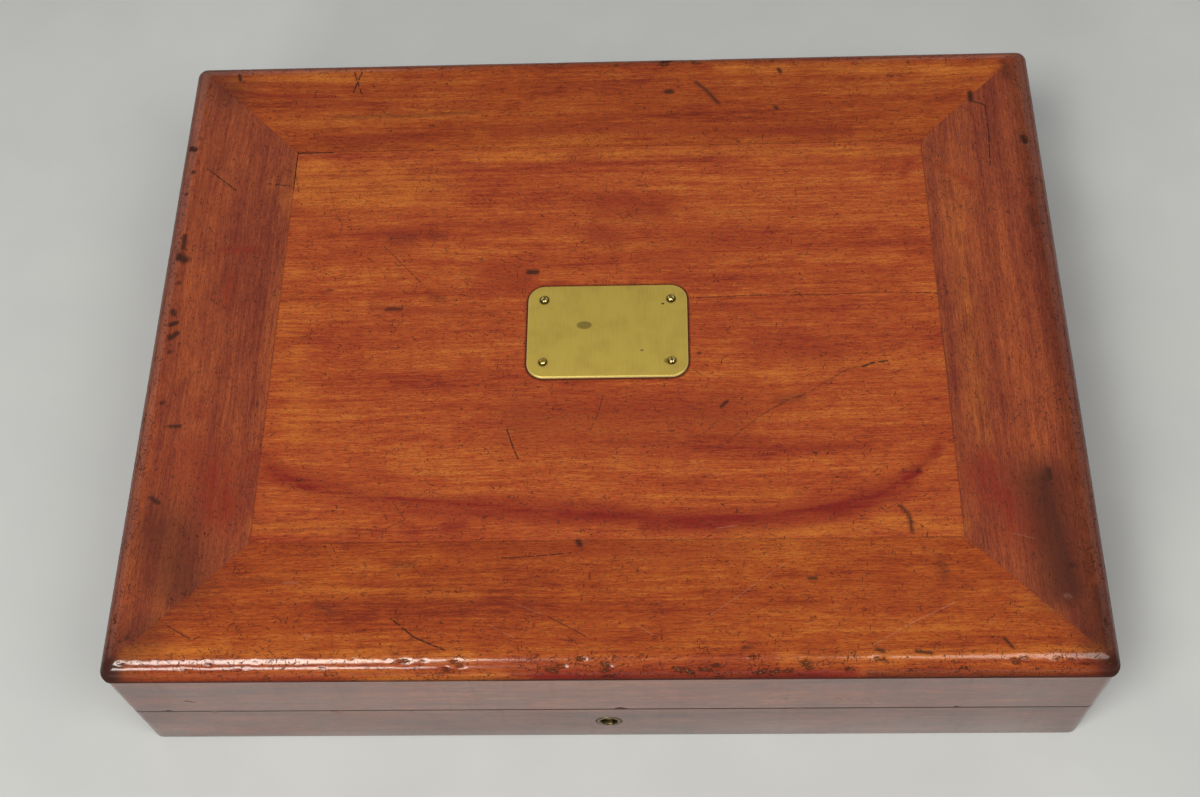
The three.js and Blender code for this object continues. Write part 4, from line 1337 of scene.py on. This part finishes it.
# %% Eight walls, with chips at the saw cut
chip_front = -176.5
chip_height = {"base": 41, "lid": 42}
chips = {
    "base": [(2.0, 0.5, -128), (1.6, 0.4, -187), (1.4, 0.3, 90)],
    "lid": [(1.8, 0.6, 6), (1.5, 0.4, -209), (1.2, 0.4, 163)],
}
rims = {"base": box_mm("base_front")[1].z, "lid": box_mm("lid_front")[0].z}
for half, rim_height in rims.items():
    for side in turns:
        wall = copy_of(f"{half}_{side}")
        soften(wall, rim_height, 0.3, 2)
        if half == "base":
            soften(wall, 0.0, 1.3, 4)
        if side == "front":
            for _, _, along in chips[half]:
                slice_across(wall, 0, np.arange(along - 4, along + 4.1, 0.5))
            inwards = 1 if half == "lid" else -1
            slice_across(wall, 2, rim_height + inwards * np.array([0.8, 1.6, 2.6, 4.2, 5.6]))
        wood = side_long_grain if side in ("front", "back") else side_short_grain
        piece = make_piece(wall, f"{half}_{side}", half, wood)
        if side == "front":
            depth = np.zeros(len(piece.data.vertices))
            for reach, deepest, along in chips[half]:
                place = (along, chip_front, chip_height[half])
                depth = np.maximum(depth, deepest * closeness(places_of(piece), [place], reach))
            press(piece, depth)
        print(piece.name, len(piece.data.polygons), "faces")

# %% [markdown]
# ## Bottom board, racks, rails and divider
# The wooden cores of the racks, the knife rails and the divider are covered in the same cloth as the
# lining, glued down, so their edges are soft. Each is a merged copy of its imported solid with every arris
# rounded.


# %% Covered woodwork
def rounded_copy(node, width, segments, sharpest=20):
    """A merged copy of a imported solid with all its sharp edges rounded."""
    shape = copy_of(node)
    edges = [edge for edge in shape.edges if edge.calc_face_angle(0) > math.radians(sharpest)]
    round_off(shape, edges, width, segments, clamp_overlap=True)
    return shape


covered = {"bay_divider": "base", "knife_front_rail": "lid", "knife_back_rail": "lid"}
for hand in ("left", "right"):
    for place in ("outer", "inner"):
        covered[f"{hand}_{place}_rack"] = "base"
for node, body in covered.items():
    piece = make_piece(rounded_copy(node, 1.0, 3, sharpest=50), node, body, green_baize)
    print(piece.name, len(piece.data.polygons), "faces")
make_piece(rounded_copy("base_bottom", 0.4, 2), "base_bottom", "base", plain_board)

# %% [markdown]
# ## Linings
# Each lining is one sheet of baize, cut as a cross and glued to a floor and four walls. It is made as a
# box without its open side, with the inner corners rounded as cloth rounds them, and given its thickness
# inwards.


# %% Two linings
cloth_thickness = 1.4
cloth_fold = 3.0


def cloth_lining(node, body, opens_up):
    """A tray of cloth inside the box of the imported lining."""
    low, high = box_mm(node)
    size = high - low
    tray = bmesh.new()
    bmesh.ops.create_cube(tray, size=1)
    bmesh.ops.scale(tray, vec=size, verts=tray.verts)
    up = 1 if opens_up else -1
    open_face = [face for face in tray.faces if face.normal.z * up > 0.9]
    bmesh.ops.delete(tray, geom=open_face, context="FACES_ONLY")
    corners = [edge for edge in tray.edges if not edge.is_boundary]
    round_off(tray, corners, cloth_fold, 4)
    bmesh.ops.recalc_face_normals(tray, faces=tray.faces)
    if sum(face.normal.dot(face.calc_center_median()) for face in tray.faces) < 0:
        bmesh.ops.reverse_faces(tray, faces=tray.faces)
    bmesh.ops.solidify(tray, geom=tray.faces[:], thickness=cloth_thickness)
    bmesh.ops.recalc_face_normals(tray, faces=tray.faces)
    move(tray, middle_of(node))
    piece = make_piece(tray, node, body, green_baize)


cloth_lining("base_lining", "base", True)
cloth_lining("lid_lining", "lid", False)

# %% [markdown]
# ## Lock and hinges
# The key nozzle is a short brass tube with a rounded lip, and the key turns on a pin inside it. The flat
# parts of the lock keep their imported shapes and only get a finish. Hinge leaves and pins are merged
# copies, so that their round knuckles shade smoothly, and every countersunk screw is turned again with a
# true slot.


# %% Nozzle and pins
def turned_ring(inner, outer, start, end, lip):
    """A tube along Y whose front lip is rounded."""
    profile = [(inner, end), (inner, start + lip)]
    profile += [(inner + lip * (1 - math.cos(t)), start + lip * (1 - math.sin(t))) for t in (0.5, 1.0)]
    profile += [(inner + lip, start), (outer - lip, start)]
    profile += [(outer - lip * (1 - math.sin(t)), start + lip * (1 - math.cos(t))) for t in (0.5, 1.0)]
    profile += [(outer, start + lip), (outer, end)]
    shape = lathe([(radius, along, 0) for radius, along in profile], (0, 1, 0), 48, closed=True)
    bmesh.ops.recalc_face_normals(shape, faces=shape.faces)
    return shape


nozzle_low, nozzle_high = box_mm("key_nozzle")
nozzle_outer = (nozzle_high.x - nozzle_low.x) / 2
nozzle_inner = 4.2
nozzle_lip = 0.5
nozzle = turned_ring(
    nozzle_inner,
    nozzle_outer,
    nozzle_low.y - chest_middle.y,
    nozzle_high.y - chest_middle.y,
    nozzle_lip,
)
move(nozzle, (0, 0, (nozzle_low.z + nozzle_high.z) / 2))
make_piece(nozzle, "key_nozzle", "base", dull_brass)
make_piece(rounded_copy("key_pin", 0.3, 2, sharpest=40), "key_pin", "base", dull_brass)
print("nozzle radius", round(nozzle_outer, 1), "mm")

# %% Hinge parts and lock parts
for hand in ("left", "right"):
    for body in ("base", "lid"):
        leaf = f"{hand}_hinge_{body}_leaf"
        make_piece(copy_of(leaf), leaf, body, lock_brass)
    pin = f"{hand}_hinge_pin"
    make_piece(rounded_copy(pin, 0.2, 2, sharpest=40), pin, "base", old_steel)
finish_of_lock = {
    "lock_case": lock_brass,
    "lock_cap": lock_brass,
    "link_plate": lock_brass,
    "lock_bolt": old_steel,
    "bolt_spring": old_steel,
}
for node, finish in finish_of_lock.items():
    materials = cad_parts[node].data.materials
    materials.clear()
    materials.append(finish)
print("hinge parts 6, lock parts", len(finish_of_lock))

# %% Countersunk screws
countersunk = [(0, -12), (1.1, -9.5), (1.1, -1.1), (2.2, 0), (1.5, 0.0), (0.8, 0.0), (0, 0)]
screws = {"lock_screw_1": "base", "lock_screw_2": "base", "link_screw_1": "lid", "link_screw_2": "lid"}
for hand in ("left", "right"):
    for body in ("base", "lid"):
        for n in (1, 2, 3):
            screws[f"{hand}_hinge_{body}_screw_{n}"] = body
for number, (node, body) in enumerate(screws.items()):
    low, high = box_mm(node)
    middle = middle_of(node)
    screw = turned_screw(countersunk, -0.5)
    turn(screw, 37 * number)
    if body == "lid":
        turn(screw, 180, "X")
    seat = high.z if body == "base" else low.z
    move(screw, (middle.x, middle.y, seat))
    make_piece(screw, node, body, lock_brass)
print("countersunk screws", len(screws))
